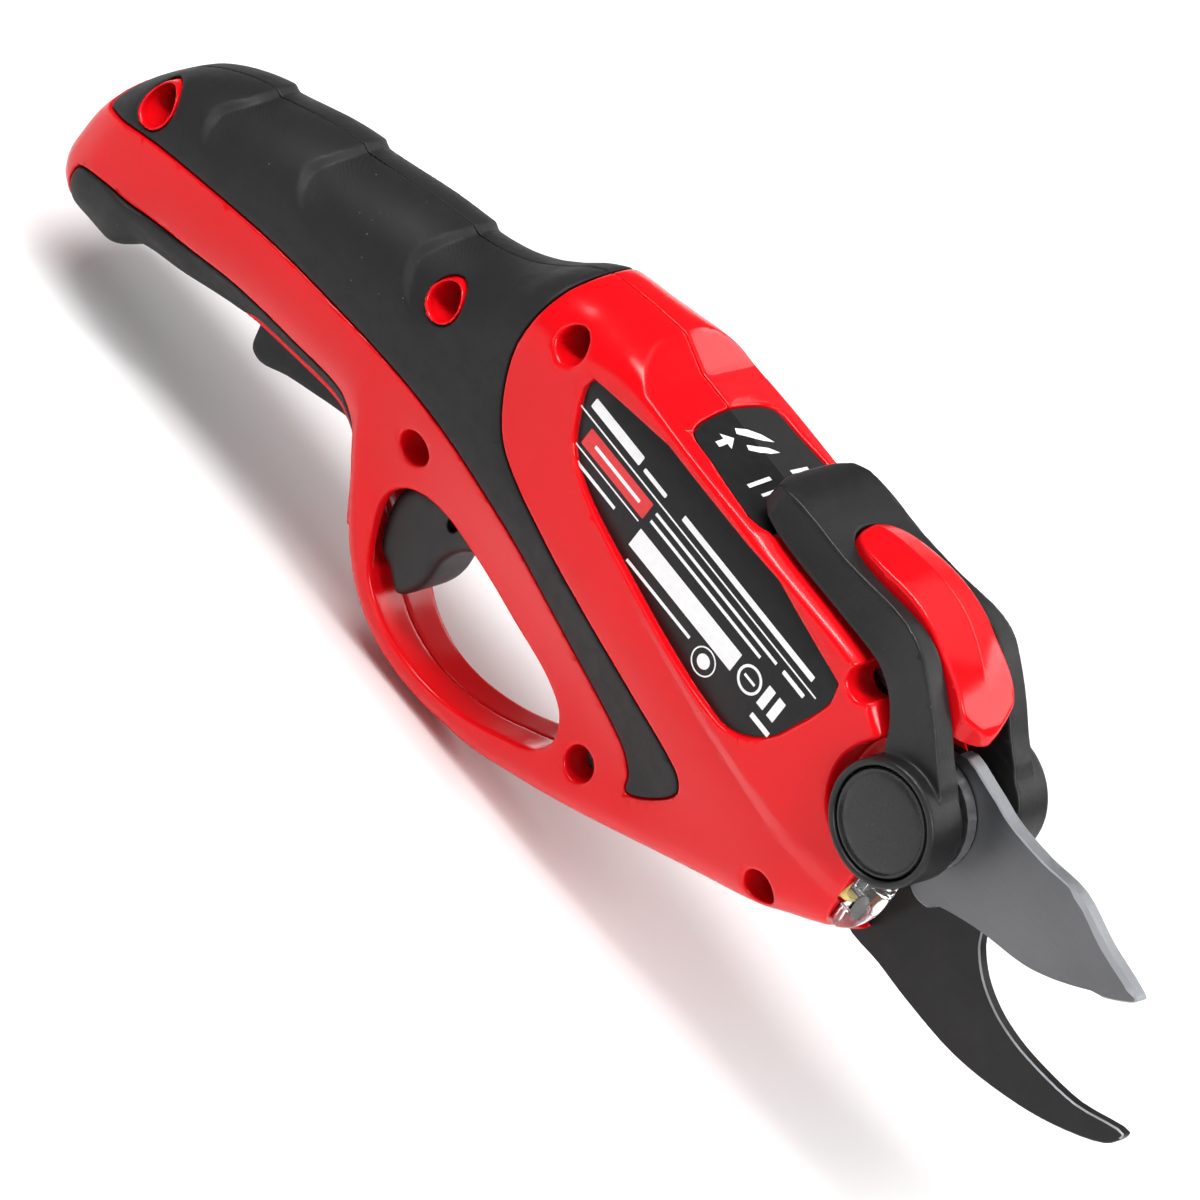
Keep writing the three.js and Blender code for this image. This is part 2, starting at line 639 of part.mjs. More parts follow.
const UPPER_EDGE = [
  [-2, 14.2], [8, 14.1], [15, 13], [25, 13.4], [35, 14.9], [46, 12.2], [55.5, 10.8], [58.2, 9.9],
  [55.5, 6.8], [50, 2.5], [45, -1.2], [40, -4.3], [35, -6.6], [23, -9.9], [14.2, -13.7],
  [12.2, -15.4], [7, -15.4],
];
const LOWER_EDGE = [
  [71.7, -15.4], [60, -19.9], [50, -21.6], [42, -22], [35, -21], [29, -18.4], [24.5, -14.4], [21.5, -9.5],
  [10, -4], [-6, -13], [-14, -16], [-25, -17], [-25, -28], [-16, -29.6], [-6, -30], [-0.5, -36], [10, -36],
  [19, -36.3], [34, -35.6], [48, -32], [59, -27.4], [69.6, -20.6], [71.6, -17.5],
];
const BLADE_SCREWS = [[-21, -20.2], [-21, -26.4]];
const BEARING = { from: -31, to: -26.6, outer: 6.3, inner: SHAFT_RADIUS + GAP };

function upperBlade() {
  const blade = sidePlate(UPPER_EDGE, UPPER_BLADE);
  const hub = rod(HUB_RADIUS, [0, UPPER_BLADE[0], 0], [0, UPPER_BLADE[1], 0], 36);
  return cut(join(blade, hub), rod(BOLT_RADIUS + GAP, [0, -9, 0], [0, 9, 0], 20));
}

function lowerBlade() {
  const blade = sidePlate(LOWER_EDGE, LOWER_BLADE);
  const hub = rod(HUB_RADIUS, [0, LOWER_BLADE[0], 0], [0, LOWER_BLADE[1], 0], 36);
  const holes = BLADE_SCREWS.map(([x, z]) => rod(1.8, [x, -9, z], [x, 9, z], 12));
  return cut(join(blade, hub), rod(6.9, [0, -9, 0], [0, 9, 0], 24), ...holes);
}

function bladeHub() {
  return tube(6.6, BOLT_RADIUS + GAP, [0, UPPER_BLADE[1] + GAP, 0], [0, GEAR_FACE - GAP, 0], 24);
}

function bladeScrew([x, z]) {
  const head = rod(2.8, [x, LOWER_BLADE[1] + GAP, z], [x, LOWER_BLADE[1] + 2.3, z], 12);
  const shank = rod(1.5, [x, -4, z], [x, LOWER_BLADE[1] + 1, z], 10);
  return join(head, shank);
}

// Face gear: a sector behind the pivot with straight teeth that face the pinion.
function driveGear() {
  const angles = [-9, 40].map((a) => THREE.MathUtils.degToRad(180 + a));
  const rim = Array.from({ length: 15 }, (_, i) => {
    const angle = THREE.MathUtils.lerp(angles[0], angles[1], i / 14);
    return [(GEAR_RADII[1] + 0.4) * Math.cos(angle), (GEAR_RADII[1] + 0.4) * Math.sin(angle)];
  });
  const sector = sidePlate([[4, 4], [-4, 8], ...rim, [4, -8]], [GEAR_FACE + GEAR_TOOTH + 0.1, GEAR_BACK]);
  const hub = rod(9, [0, GEAR_FACE, 0], [0, GEAR_BACK, 0], 30);
  const teeth = Array.from({ length: 5 }, (_, i) => {
    const tooth = box(GEAR_RADII, [GEAR_FACE, GEAR_FACE + GEAR_TOOTH + 0.2], [-0.6, 0.6]);
    return tooth.rotate([0, 185 - i * GEAR_PITCH, 0]);
  });
  return cut(join(sector, hub, ...teeth), rod(BOLT_RADIUS + GAP, [0, -9, 0], [0, 9, 0], 20));
}

// Frame that carries the pivot on one plate and the output bearing in a bulkhead.
function driveFrame() {
  const plate = [-5.9, -3.2];
  const boss = rod(HUB_RADIUS, [0, plate[0], 0], [0, plate[1], 0], 36);
  const upperStrut = sidePlate([[-4, 11], [-28, 11], [-28, 6.6], [-10, 6.6], [-4, 4]], plate);
  const lowerStrut = sidePlate(
    [[-4, -11], [-14, -17], [-27, -29], [-28, -29], [-28, -6.6], [-10, -6.6]],
    plate,
  );
  const bulkhead = box([-33.9, -26.6], [-6.9, 6.9], [-13.7, 13.7]);
  const lug = box([-27, -16.5], [plate[0], LOWER_BLADE[0] - GAP], [-29, -17.5]);
  const holes = BLADE_SCREWS.map(([x, z]) => rod(1.8, [x, -5, z], [x, 9, z], 12));
  const bore = join(
    rod(BEARING.outer - 0.7, [-40, 0, 0], [-20, 0, 0], 20),
    rod(BEARING.outer + GAP, [BEARING.from - GAP, 0, 0], [-20, 0, 0], 24),
  );
  const pivot = rod(BOLT_RADIUS + GAP, [0, -9, 0], [0, 9, 0], 20);
  return cut(join(boss, upperStrut, lowerStrut, bulkhead, lug), bore, pivot, ...holes);
}

function outputBearing() {
  return tube(BEARING.outer, BEARING.inner, [BEARING.from, 0, 0], [BEARING.to, 0, 0], 24);
}

// Turned so that one tooth points along +Y, into a space of the face gear.
function outputPinion() {
  const outline = gearPoints(PINION_TEETH, PINION_RADII[0], PINION_RADII[1], 1.4, 0.7);
  return cut(endPlate(outline, [-22.4, -16.8]), rod(SHAFT_RADIUS + GAP, [-30, 0, 0], [-10, 0, 0], 16));
}

function planetSpot(index) {
  const angle = (2 * Math.PI * index) / PLANET_COUNT;
  return [PLANET_ORBIT * Math.cos(angle), PLANET_ORBIT * Math.sin(angle)];
}

function planetCarrier() {
  const disc = rod(9.2, [-37.6, 0, 0], [-35.2, 0, 0], 28);
  const shaft = rod(SHAFT_RADIUS, [-36, 0, 0], [-15.4, 0, 0], 16);
  const pins = [0, 1, 2].map((i) => {
    const [y, z] = planetSpot(i);
    return rod(1.2, [-46.4, y, z], [-36, y, z], 10);
  });
  return join(disc, shaft, ...pins);
}

// Outline shared by the planet gears and the sun gear, which have the same number of teeth.
function planetOutline() {
  return gearPoints(PLANET_TEETH, PITCH_RADIUS - 0.78, PITCH_RADIUS + 0.5, 1.15, 0.5);
}

function planetGear(index) {
  const [y, z] = planetSpot(index);
  const bore = rod(1.5, [-50, 0, 0], [-30, 0, 0], 10);
  const gear = cut(endPlate(planetOutline(), [-46.2, -38]), bore);
  return gear.rotate([(360 * index) / PLANET_COUNT, 0, 0]).translate([0, y, z]);
}

function sunGear() {
  const bore = rod(MOTOR_SHAFT_RADIUS + GAP, [-50, 0, 0], [-30, 0, 0], 10);
  return cut(endPlate(planetOutline(), [-46.8, -38.2]), bore);
}

function gearboxCase() {
  const pitch = PLANET_ORBIT + PITCH_RADIUS;
  const teeth = gearPoints(RING_GEAR_TEETH, pitch + 0.8, pitch - 0.45, 1.1, 0.5, 0.5);
  const body = rod(GEARBOX.radius, [GEARBOX.from, 0, 0], [GEARBOX.to, 0, 0], 32);
  return cut(
    body, endPlate(teeth, [-47.2, -37.9]), rod(pitch + 0.8, [-37.9, 0, 0], [-30, 0, 0], 32),
    rod(2.2, [-60, 0, 0], [-40, 0, 0], 12), rod(5, [-51, 0, 0], [-40, 0, 0], 16),
  );
}

function motorCan() {
  return cut(
    rod(MOTOR.radius, [MOTOR.from, 0, 0], [MOTOR.to, 0, 0], 32),
    rod(MOTOR.radius - 1, [MOTOR.from - 1, 0, 0], [MOTOR.to - 1.4, 0, 0], 32),
    rod(MOTOR_SHAFT_RADIUS + GAP, [-60, 0, 0], [-50, 0, 0], 10),
  );
}

function motorEndCap() {
  const plate = rod(MOTOR.radius - 0.4, [MOTOR.from - 2.4, 0, 0], [MOTOR.from - GAP, 0, 0], 28);
  const boss = rod(3.4, [MOTOR.from - 4.4, 0, 0], [MOTOR.from - 2, 0, 0], 14);
  const tabs = [-1, 1].map((side) => box(
    [MOTOR.from - 4.4, MOTOR.from - 2], [side * 7 - 1.4, side * 7 + 1.4], [-0.4, 0.4],
  ));
  return cut(join(plate, boss, ...tabs), rod(MOTOR_SHAFT_RADIUS + GAP, [-100, 0, 0], [-80, 0, 0], 10));
}

// Shaft, three-lobed armature and commutator in one.
function motorRotor() {
  const shaft = rod(MOTOR_SHAFT_RADIUS, [MOTOR.from - 5.2, 0, 0], [-38.6, 0, 0], 10);
  const lobes = [0, 1, 2].map((i) => box([-82, -61], [-8.6, 0], [-2.8, 2.8]).rotate([120 * i, 0, 0]));
  const core = rod(4, [-84, 0, 0], [-60, 0, 0], 14);
  return join(shaft, core, ...lobes);
}

// ---------------------------------------------------------------- battery and electronics

function batteryCell() {
  const can = rod(CELL.radius, cellFrom.toArray(), cellTo.toArray(), 32);
  const nub = rod(2.8, cellTo.toArray(), alongCell(cellTo, 1.2), 12);
  return join(can, nub);
}

function cellContact(from, to) {
  return rod(5, from, to, 16);
}

function circuitBoard() {
  const board = box([-127, -99.5], [-8, 8], [-1, 0.6]);
  const chips = [[-125, 4], [-118, 7], [-109, 4]].map(([x, length]) => box(
    [x, x + length], [-3, 3], [0, 2.2],
  ));
  const connector = box([-104, -101], [-5, 5], [0, 4.5]);
  return join(board, ...chips, connector);
}

function triggerSwitch() {
  const body = box([-120.6, -102], [-5, 5], [-33.8, -22]);
  const terminals = [-118, -112, -106].map((x) => box([x, x + 0.8], [-1.4, 1.4], [-23, -18]));
  return cut(join(body, ...terminals), box([-120.1, -116.9], [-1.9, 1.9], [-35, -32]));
}

function switchButton() {
  return box([-119.8, -117.2], [-1.6, 1.6], [-38.7, -33.7]);
}

function lampLens() {
  const block = cut(outside, box([-60, 0], [-60, 60], [-100, 100]));
  const window = box([-0.2, 20], [-30, UPPER_BLADE[0] - 0.8], [-40, -14.8]);
  const seat = rod(2.8, [-4, -7, -24], [2.4, -7, -24], 14);
  return cut(block.intersect(window), seat);
}

function lamp() {
  const dome = new THREE.SphereGeometry(2.2, 14, 8);
  dome.scale(1.2, 1, 1);
  dome.translate(-0.9, -7, -24);
  return join(toSolid(dome), rod(2.45, [-4.4, -7, -24], [-1.2, -7, -24], 14));
}

// ---------------------------------------------------------------- trigger and squeeze lever

const TRIGGER_SIDE = [
  [-125, -49], [-123.4, -45], [-119, -42.2], [-117, -38.9], [-113, -36.9], [-109.6, -38.2],
  [-108.2, -41], [-105, -43.4], [-108.6, -48], [-110.4, -53], [-110.2, -58], [-111, -62],
  [-113.4, -66], [-115.6, -65.4], [-118.4, -63.4], [-121, -62], [-123.8, -57],
];
const LEVER_SIDE = [
  [-140, -43], [-140.4, -46.6], [-150, -50.4], [-160, -54], [-166.4, -57], [-169.6, -56.2],
  [-171, -52.4], [-171.4, -47.6], [-165, -46.6], [-152, -43.4], [-145, -41.6], [-142, -41.4],
];

function trigger() {
  const body = sidePlate(TRIGGER_SIDE, [-TRIGGER_HALF, TRIGGER_HALF]);
  const [x, z] = TRIGGER_PIVOT;
  return cut(body, rod(1.8, [x, -9, z], [x, 9, z], 12));
}

function triggerPin() {
  const [x, z] = TRIGGER_PIVOT;
  return rod(1.5, [x, -10, z], [x, 10, z], 12);
}

function safetyLever() {
  const [x, z] = LEVER_PIVOT;
  const springSeat = rod(3, [-162, 0, -52], [-162, 0, -40], 14);
  const bore = rod(1.5, [x, -9, z], [x, 9, z], 12);
  return cut(sidePlate(LEVER_SIDE, [-LEVER_HALF, LEVER_HALF]), bore, springSeat);
}

function leverPin() {
  const [x, z] = LEVER_PIVOT;
  return rod(1.2, [x, -8.3, z], [x, 8.3, z], 12);
}

// Coil spring along a straight axis.
class Helix extends THREE.Curve {
  constructor(radius, height, turns) {
    super();
    Object.assign(this, { radius, height, turns });
  }

  getPoint(t) {
    const angle = 2 * Math.PI * this.turns * t;
    const x = this.radius * Math.cos(angle);
    const y = this.radius * Math.sin(angle);
    return new THREE.Vector3(x, y, this.height * t);
  }
}

function spring(radius, height, turns, wire, place) {
  const section = new THREE.Shape();
  section.absarc(0, 0, wire, 0, 2 * Math.PI);
  const geometry = new THREE.ExtrudeGeometry(section, {
    extrudePath: new Helix(radius, height, turns),
    steps: turns * 7,
    curveSegments: 2,
    bevelEnabled: false,
  });
  geometry.translate(...place);
  return toSolid(geometry);
}

// ---------------------------------------------------------------- materials and the assembly

const LOOKS = {
  red: [0xe0101c, 0.25, 0],
  rubber: [0x2b2b2d, 0.8, 0],
  blackPlastic: [0x1f1f21, 0.5, 0],
  label: [0x232325, 0.4, 0],
  steel: [0x8b8d91, 0.35, 1],
  coatedSteel: [0x1f1d1e, 0.5, 0.6],
  brass: [0xb08d4c, 0.35, 1],
  clear: [0xf2f4f6, 0.05, 0],
  lampYellow: [0xe8d77a, 0.3, 0],
  board: [0x1d6b3a, 0.5, 0],
  cellWrap: [0x2f7ec2, 0.4, 0],
};

const model = new THREE.Group();

function add(name, look, solid) {
  const [color, roughness, metalness] = LOOKS[look];
  const material = new THREE.MeshStandardMaterial({ color, roughness, metalness });
  const mesh = new THREE.Mesh(toGeometry(solid), material);
  mesh.name = name;
  model.add(mesh);
}

add("housing_right", "red", housingRight());
add("housing_left", "red", housingLeft());
add("grip_cover_right", "rubber", gripCoverRight());
add("grip_cover_left", "rubber", mirrored(plainGripCover()));
add("lower_grip_right", "rubber", lowerGripRight());
add("lower_grip_left", "rubber", mirrored(lowerGripRight()));
add("label_plate_right", "label", sideLabel());
add("label_plate_left", "label", mirrored(sideLabel()));
add("top_label", "label", topLabel());
SCREWS.forEach((spot, i) => add(`housing_screw_${i + 1}`, "steel", housingScrew(spot)));

add("yoke_lever", "blackPlastic", yokeLever());
add("release_slider", "red", releaseSlider());
add("pivot_cap_right", "blackPlastic", pivotCap());
add("pivot_cap_left", "blackPlastic", mirrored(pivotCap()));
add("pivot_bolt", "steel", pivotBolt());
add("pivot_nut", "steel", pivotNut());

add("upper_blade", "steel", upperBlade());
add("lower_blade", "coatedSteel", lowerBlade());
add("blade_hub", "steel", bladeHub());
BLADE_SCREWS.forEach((spot, i) => add(`blade_screw_${i + 1}`, "steel", bladeScrew(spot)));
add("drive_gear", "steel", driveGear());
add("drive_frame", "steel", driveFrame());
add("output_bearing", "steel", outputBearing());
add("output_pinion", "steel", outputPinion());
add("planet_carrier", "steel", planetCarrier());
for (let i = 0; i < PLANET_COUNT; i += 1) add(`planet_gear_${i + 1}`, "brass", planetGear(i));
add("sun_gear", "brass", sunGear());
add("gearbox_case", "steel", gearboxCase());
add("motor_can", "steel", motorCan());
add("motor_end_cap", "blackPlastic", motorEndCap());
add("motor_rotor", "steel", motorRotor());

add("battery_cell", "cellWrap", batteryCell());
add("cell_contact_front", "brass", cellContact(alongCell(cellTo, 1.5), alongCell(cellTo, 2.3)));
add("cell_contact_rear", "brass", cellContact(alongCell(cellFrom, -1.1), alongCell(cellFrom, -0.3)));
add("charging_socket", "blackPlastic", chargingSocket());
add("circuit_board", "board", circuitBoard());
add("trigger_switch", "blackPlastic", triggerSwitch());
add("switch_button", "red", switchButton());
add("lamp_lens", "clear", lampLens());
add("lamp", "lampYellow", lamp());

add("trigger", "blackPlastic", trigger());
add("trigger_pin", "steel", triggerPin());
add("safety_lever", "blackPlastic", safetyLever());
add("lever_pin", "steel", leverPin());
add("lever_spring", "steel", spring(2.1, 11, 4, 0.4, [-162, 0, -51.4]));

const middle = new THREE.Box3().setFromObject(model).getCenter(new THREE.Vector3());
model.children.forEach((mesh) => mesh.geometry.translate(-middle.x, -middle.y, -middle.z));

export default model;
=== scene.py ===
"""Battery electric pruner: looks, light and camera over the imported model."""
import json
import math

import bmesh
import bpy
import numpy as np
import openvdb
from mathutils import Matrix, Vector


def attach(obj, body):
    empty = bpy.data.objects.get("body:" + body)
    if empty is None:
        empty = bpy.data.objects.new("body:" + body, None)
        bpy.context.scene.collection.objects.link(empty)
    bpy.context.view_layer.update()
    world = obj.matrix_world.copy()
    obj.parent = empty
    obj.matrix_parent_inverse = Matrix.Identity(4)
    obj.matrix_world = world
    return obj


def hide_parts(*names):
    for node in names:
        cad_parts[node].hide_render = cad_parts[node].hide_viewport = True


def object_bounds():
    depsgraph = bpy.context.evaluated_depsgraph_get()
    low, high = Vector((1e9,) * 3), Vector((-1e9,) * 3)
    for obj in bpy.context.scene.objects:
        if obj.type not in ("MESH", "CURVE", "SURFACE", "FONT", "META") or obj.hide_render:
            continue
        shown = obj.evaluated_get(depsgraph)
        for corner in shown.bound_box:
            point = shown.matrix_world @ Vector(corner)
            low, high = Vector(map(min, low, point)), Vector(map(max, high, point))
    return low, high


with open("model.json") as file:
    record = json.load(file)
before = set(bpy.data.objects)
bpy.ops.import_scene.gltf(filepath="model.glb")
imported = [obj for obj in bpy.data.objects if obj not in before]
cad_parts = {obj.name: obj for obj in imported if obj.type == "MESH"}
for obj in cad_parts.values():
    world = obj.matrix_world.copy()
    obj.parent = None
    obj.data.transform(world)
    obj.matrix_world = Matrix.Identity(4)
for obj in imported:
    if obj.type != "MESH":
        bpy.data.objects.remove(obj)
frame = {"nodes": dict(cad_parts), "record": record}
cad_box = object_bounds()

# ------------------------------------------------------------------ sizes, in millimetres
# x, y and z below are counted from the middle of the blade pivot: x to the nose, y to the
# left, z to the top of the tool.


def both_sides(half):
    """Outline in x and y, closed by the mirror image of its half."""
    return half + [(x, -y) for x, y in reversed(half) if y]


cap_place = frame["record"]["mounts"][0]["pos_m"]
PIVOT = Vector((cap_place[0], 0, cap_place[2]))
MM = 0.001

GAP = 0.3
SPLIT = 0.15
SKIN = 1.5
RING_RADIUS = 13
RING_FACE = 18.3
RING_BACK = 8.6
CAP_RADIUS = 11.1
ARM_HALF = 14.4
SLOT_HALF = 8.6
NOSE_HALF = 8.3
NOSE_POCKET = 15.8
UPPER_BLADE = (-2.9, 0.7)
LOWER_BLADE = (1.0, 3.5)
HUB_RADIUS = 12
CELL = {"radius": 9.5, "from": (-205.4, -41.6), "to": (-138.6, -17.4)}
TRIGGER_PIVOT = (-113, -39.2)
TRIGGER_HALF = 7.5
LEVER_PIVOT = (-143.5, -44)
LEVER_HALF = 7
SCREWS = [
    (-213, -31.4), (-139.5, -5.5), (-112.6, 12.2), (-126.3, -34.6), (-60.5, -55), (-14.5, -38),
    (-21.5, 16.2),
]
SCREW_RECESS = 3.65
COLLAR = 0.7  # red rim of each recess in the soft grip
WALL = 4.2
RIBS = (-190, -152, -84, -60, -46)
BOLT_BORE = 4.3
TRIGGER_BORE = 1.8
LEVER_BORE = 1.5
LEVER_RIM = 0.7  # red rim round the slot of the squeeze lever
EDGE = 0.15  # clearance round each soft grip
LAMP_PLACE = (-7, -24)  # y and z
LAMP_BORE = 2.8
HOLE_POINTS = 40
SCREW_SEATS = [4, 5, 5, 4, 1.3, 2, 5.5]

# x, top, bottom, half width above, half width below, round-over at the top and at the bottom
HULL_ROWS = [
    (-225.3, -44.8, -58.5, 8.5, 8.5, 6, 6),
    (-223.5, -38.6, -63, 11.8, 11.8, 10, 10),
    (-220.5, -33, -66, 14.2, 14.2, 13, 13),
    (-215.5, -26, -67.5, 16.2, 16.2, 17, 17),
    (-207, -19.4, -66, 17.1, 17.1, 20, 20),
    (-200, -15.9, -59.5, 17.4, 17.4, 20, 20),
    (-190, -11.6, -56.2, 17.5, 17.4, 20, 20),
    (-177, -7.4, -51.7, 17.5, 17, 21, 20),
    (-160, -2.4, -48.6, 17.4, 16.5, 21, 20),
    (-148, 1.2, -47.2, 17.2, 16, 21, 20),
    (-141, 3.8, -49, 17.1, 15.2, 20, 16),
    (-136, 6.6, -55, 17, 13.8, 18, 12),
    (-131, 10.8, -62.5, 17, 12.4, 18, 10),
    (-126, 16.2, -69, 17, 11.2, 18, 9),
    (-121, 19.7, -73.6, 17, 10.2, 18, 8),
    (-115, 21.4, -77.2, 17.1, 9.3, 18, 7.5),
    (-108, 22.9, -79.5, 17.2, 8.6, 14, 7.2),
    (-101.5, 24, -80.2, 17.2, 8.1, 10, 7.2),
    (-96, 24.4, -80, 17.2, 8, 8.5, 7.2),
    (-90, 24.6, -78.9, 17.4, 8.1, 8, 7.3),
    (-84, 24.6, -77.8, 17.6, 8.2, 7.5, 7.5),
    (-70, 23.8, -72.5, 17.9, 9.2, 6.5, 8),
    (-58, 21.6, -67.2, 17.9, 10, 4, 8.5),
    (-50, 20.6, -63.3, 17.7, 10.6, 3, 9),
    (-38, 20.5, -57.2, 17.3, 11.4, 3, 10),
    (-27, 20, -51.6, 16.7, 12, 3, 10),
    (-20, 18, -48.2, 16.2, 12, 4, 10),
    (-14, 14, -45, 15.2, 12, 5, 10),
    (-8, 10.5, -41, 13.5, 11.4, 6, 10),
    (-2, 7.5, -37, 11.5, 10.4, 8, 9),
    (3, -3, -33, 9, 8.8, 8, 8),
    (6.5, -14, -28.5, 6, 6, 5, 5),
]
HULL_TAPER = (-52, -18)
FULLNESS = 2.35
# The sides lean out to the edge of the platform: span in x, span in z and how far.
FLARE = {"x": (-104, -92, -60, -46), "z": (9, 20), "reach": 0.4}
# The side steps in below a crease that starts behind the label: x, upper and lower line.
CREASE = [(-92, -7.5, -8.5), (-60, -14.2, -15.8), (-45, -17.2, -19.4), (-30, -19.2, -22.2),
          (-15, -20.8, -25), (8, -23, -28)]
CREASE_DEPTH = 1.3
# Platform in front of the barrel: its middle height, the fall to each edge, and the two ramps.
PLATFORM = {"height": 21.0, "fall": 0.085, "rear": -94.0, "slope": 0.375, "front": (-59.5, -51),
            "rise": 3}

WINDOW = [
    (-126.3, -50), (-124.3, -45.3), (-120, -42.3), (-113, -41.3), (-104.5, -42.8), (-90, -46),
    (-76, -48.8), (-70.6, -51.6), (-68, -56.5), (-70, -61.5), (-77, -66), (-85, -70), (-94, -72.7),
    (-103, -73.2), (-112, -71), (-119, -66), (-124, -58),
]
GRIP_COVER = [
    (-121.5, 30), (-122.6, 16), (-122.3, 8.3), (-120.8, 0), (-116.7, -8.3), (-111.7, -14.2),
    (-105, -17.8), (-90, -22.3), (-73.3, -26.3), (-56.7, -30.4), (-45, -33.4), (-41, -35.2),
    (-39.4, -38.3), (-42, -43.5), (-47.6, -49.3), (-49.4, -49.6), (-50.6, -46.5), (-54, -43.2),
    (-62, -40), (-80, -34.6), (-93.3, -30.4), (-106.7, -27.2), (-123.3, -24.8), (-140, -24.5),
    (-156.7, -25.7), (-173.3, -27.6), (-190, -30.9), (-206.7, -35.2), (-219, -40.3), (-222, -41.6),
    (-222.9, -39.5), (-221.5, -33), (-217.5, -25), (-213, -18), (-208, 0), (-208, 30),
]
LOWER_GRIP = [
    (-218.2, -54.8), (-212.5, -51.8), (-201, -49), (-190.5, -46.3), (-175, -43), (-158.5, -41.3),
    (-148.5, -40.3), (-143.5, -41.2), (-139.2, -45), (-137, -60), (-137, -80), (-214, -80),
    (-216, -67), (-218.6, -60),
]
LEVER_SLOT = {"x": (-172.5, -137), "half": 7.6, "top": -41}
SIDE_LABEL = [
    (-104, 12), (-25.6, 11.7), (-27.6, -3.5), (-31, -10.5), (-37.5, -15.3), (-44, -15.6),
    (-56.7, -14), (-73.3, -10.6), (-90, -6.4), (-97.5, -2.5), (-101.5, 3),
]
SIDE_LABEL_FACE = 16.2
TOP_LABEL = both_sides([
    (-84.9, 0), (-84.5, 6), (-83.6, 10.5), (-82, 12.6), (-76, 13.2), (-56, 13.2),
])
# Steps of the grip in side view: points from the crest down, each curve fading at its end.
GRIP_STEPS = [
    [(-200.5, -12), (-201.5, -17), (-204, -22), (-202, -26), (-197, -29)],
    [(-178.5, -3), (-179.5, -8), (-181.3, -13), (-178, -17), (-171, -20)],
    [(-149, 6), (-150.5, 1), (-152.3, -5), (-149, -10), (-139.5, -14.5)],
]
GRIP_STEP_DEPTH = 1.05

TRIGGER_POCKET = [
    (-131.5, -57), (-131.5, -47), (-127, -42), (-122, -41), (-120.5, -35.5), (-103, -35.5),
    (-103, -48), (-112, -62), (-116, -66), (-122, -64),
]
TRIGGER_SIDE = [
    (-126.2, -49.5), (-124, -44.8), (-119, -42.2), (-117, -38.9), (-113, -36.9), (-109.6, -38.2),
    (-108.2, -41), (-105, -43.4), (-108.6, -48), (-110.4, -53), (-110.2, -58), (-111, -62),
    (-113.4, -66), (-115.6, -65.4), (-118.4, -63.4), (-122, -62.2), (-125, -57.2),
]
LEVER_SIDE = [
    (-140, -43), (-140.4, -46.6), (-150, -50.4), (-160, -54), (-166.4, -57), (-169.6, -56.2),
    (-171, -52.4), (-171.4, -47.6), (-165, -46.6), (-152, -43.4), (-145, -41.6), (-142, -41.4),
]
HOLLOW_FLOOR = [
    (-146, -90), (-146, -44), (-140, -40), (-131, -38), (-103, -38.5), (-76, -44.5), (-62, -37),
    (-30, -31), (-30, 40), (40, 40), (40, -90),
]
YOKE_SIDE = [
    (-64.6, 23.4), (-64.8, 25.8), (-61, 28.1), (-55, 29.2), (-42, 29.2), (-33, 30.1), (-26, 31),
    (-21, 31.2), (-16, 30.1), (-11.5, 27.3), (-5.5, 22.5), (0, 17.1), (5.5, 12.1), (9, 3),
    (-9.5, 8.4), (-12.6, 13.6), (-17, 18.4), (-22, 20.9), (-28, 21.3), (-52, 21.2), (-61, 22.4),
]
YOKE_LEAN = {"foot": 22, "height": 9, "share": 0.2, "end": (-32, -12)}  # the sides lean inward
YOKE_PLAN = both_sides([
    (20, ARM_HALF), (-54, ARM_HALF), (-59.5, 14.1), (-62.6, 12.6), (-64.2, 8), (-64.9, 0),
])
SLIDER_SIDE = [
    (-46.6, 30.4), (-44.6, 31.8), (-38, 33.7), (-28, 35.1), (-21, 34.4), (-17, 33.1), (-11, 29.8),
    (-4.5, 24.8), (-0.3, 20.9), (0.3, 17.9), (-2.6, 17.9), (-8, 21.5), (-15, 25.1), (-22, 26.1),
    (-46.6, 26.1),
]
SLIDER_DROP = 2.3
SLIDER_PLAN = both_sides([
    (-47, 0), (-46.5, -3), (-45, -5.5), (-41.5, -7.4), (-36, -8.2), (-28, -8.3), (-6.3, -8.3),
    (-4.2, -7.9), (-3.2, -7), (0.3, -0.6),
])
UPPER_EDGE = [
    (-2, 14.2), (8, 14.1), (15, 13), (25, 13.4), (35, 14.9), (46, 12.2), (55.5, 10.8), (58.2, 9.9),
    (55.5, 6.8), (50, 2.5), (45, -1.2), (40, -4.3), (35, -6.6), (23, -9.9), (14.2, -13.7),
    (12.2, -15.4), (7, -15.4),
]
LOWER_EDGE = [
    (71.7, -15.4), (60, -19.9), (50, -21.6), (42, -22), (35, -21), (29, -18.4), (24.5, -14.4),
    (21.5, -9.5), (10, -4), (-6, -13), (-14, -16), (-25, -17), (-25, -28), (-16, -29.6), (-6, -30),
    (-0.5, -36), (10, -36), (19, -36.3), (34, -35.6), (48, -32), (59, -27.4), (69.6, -20.6),
    (71.6, -17.5),
]

# ------------------------------------------------------------------ curves and fields


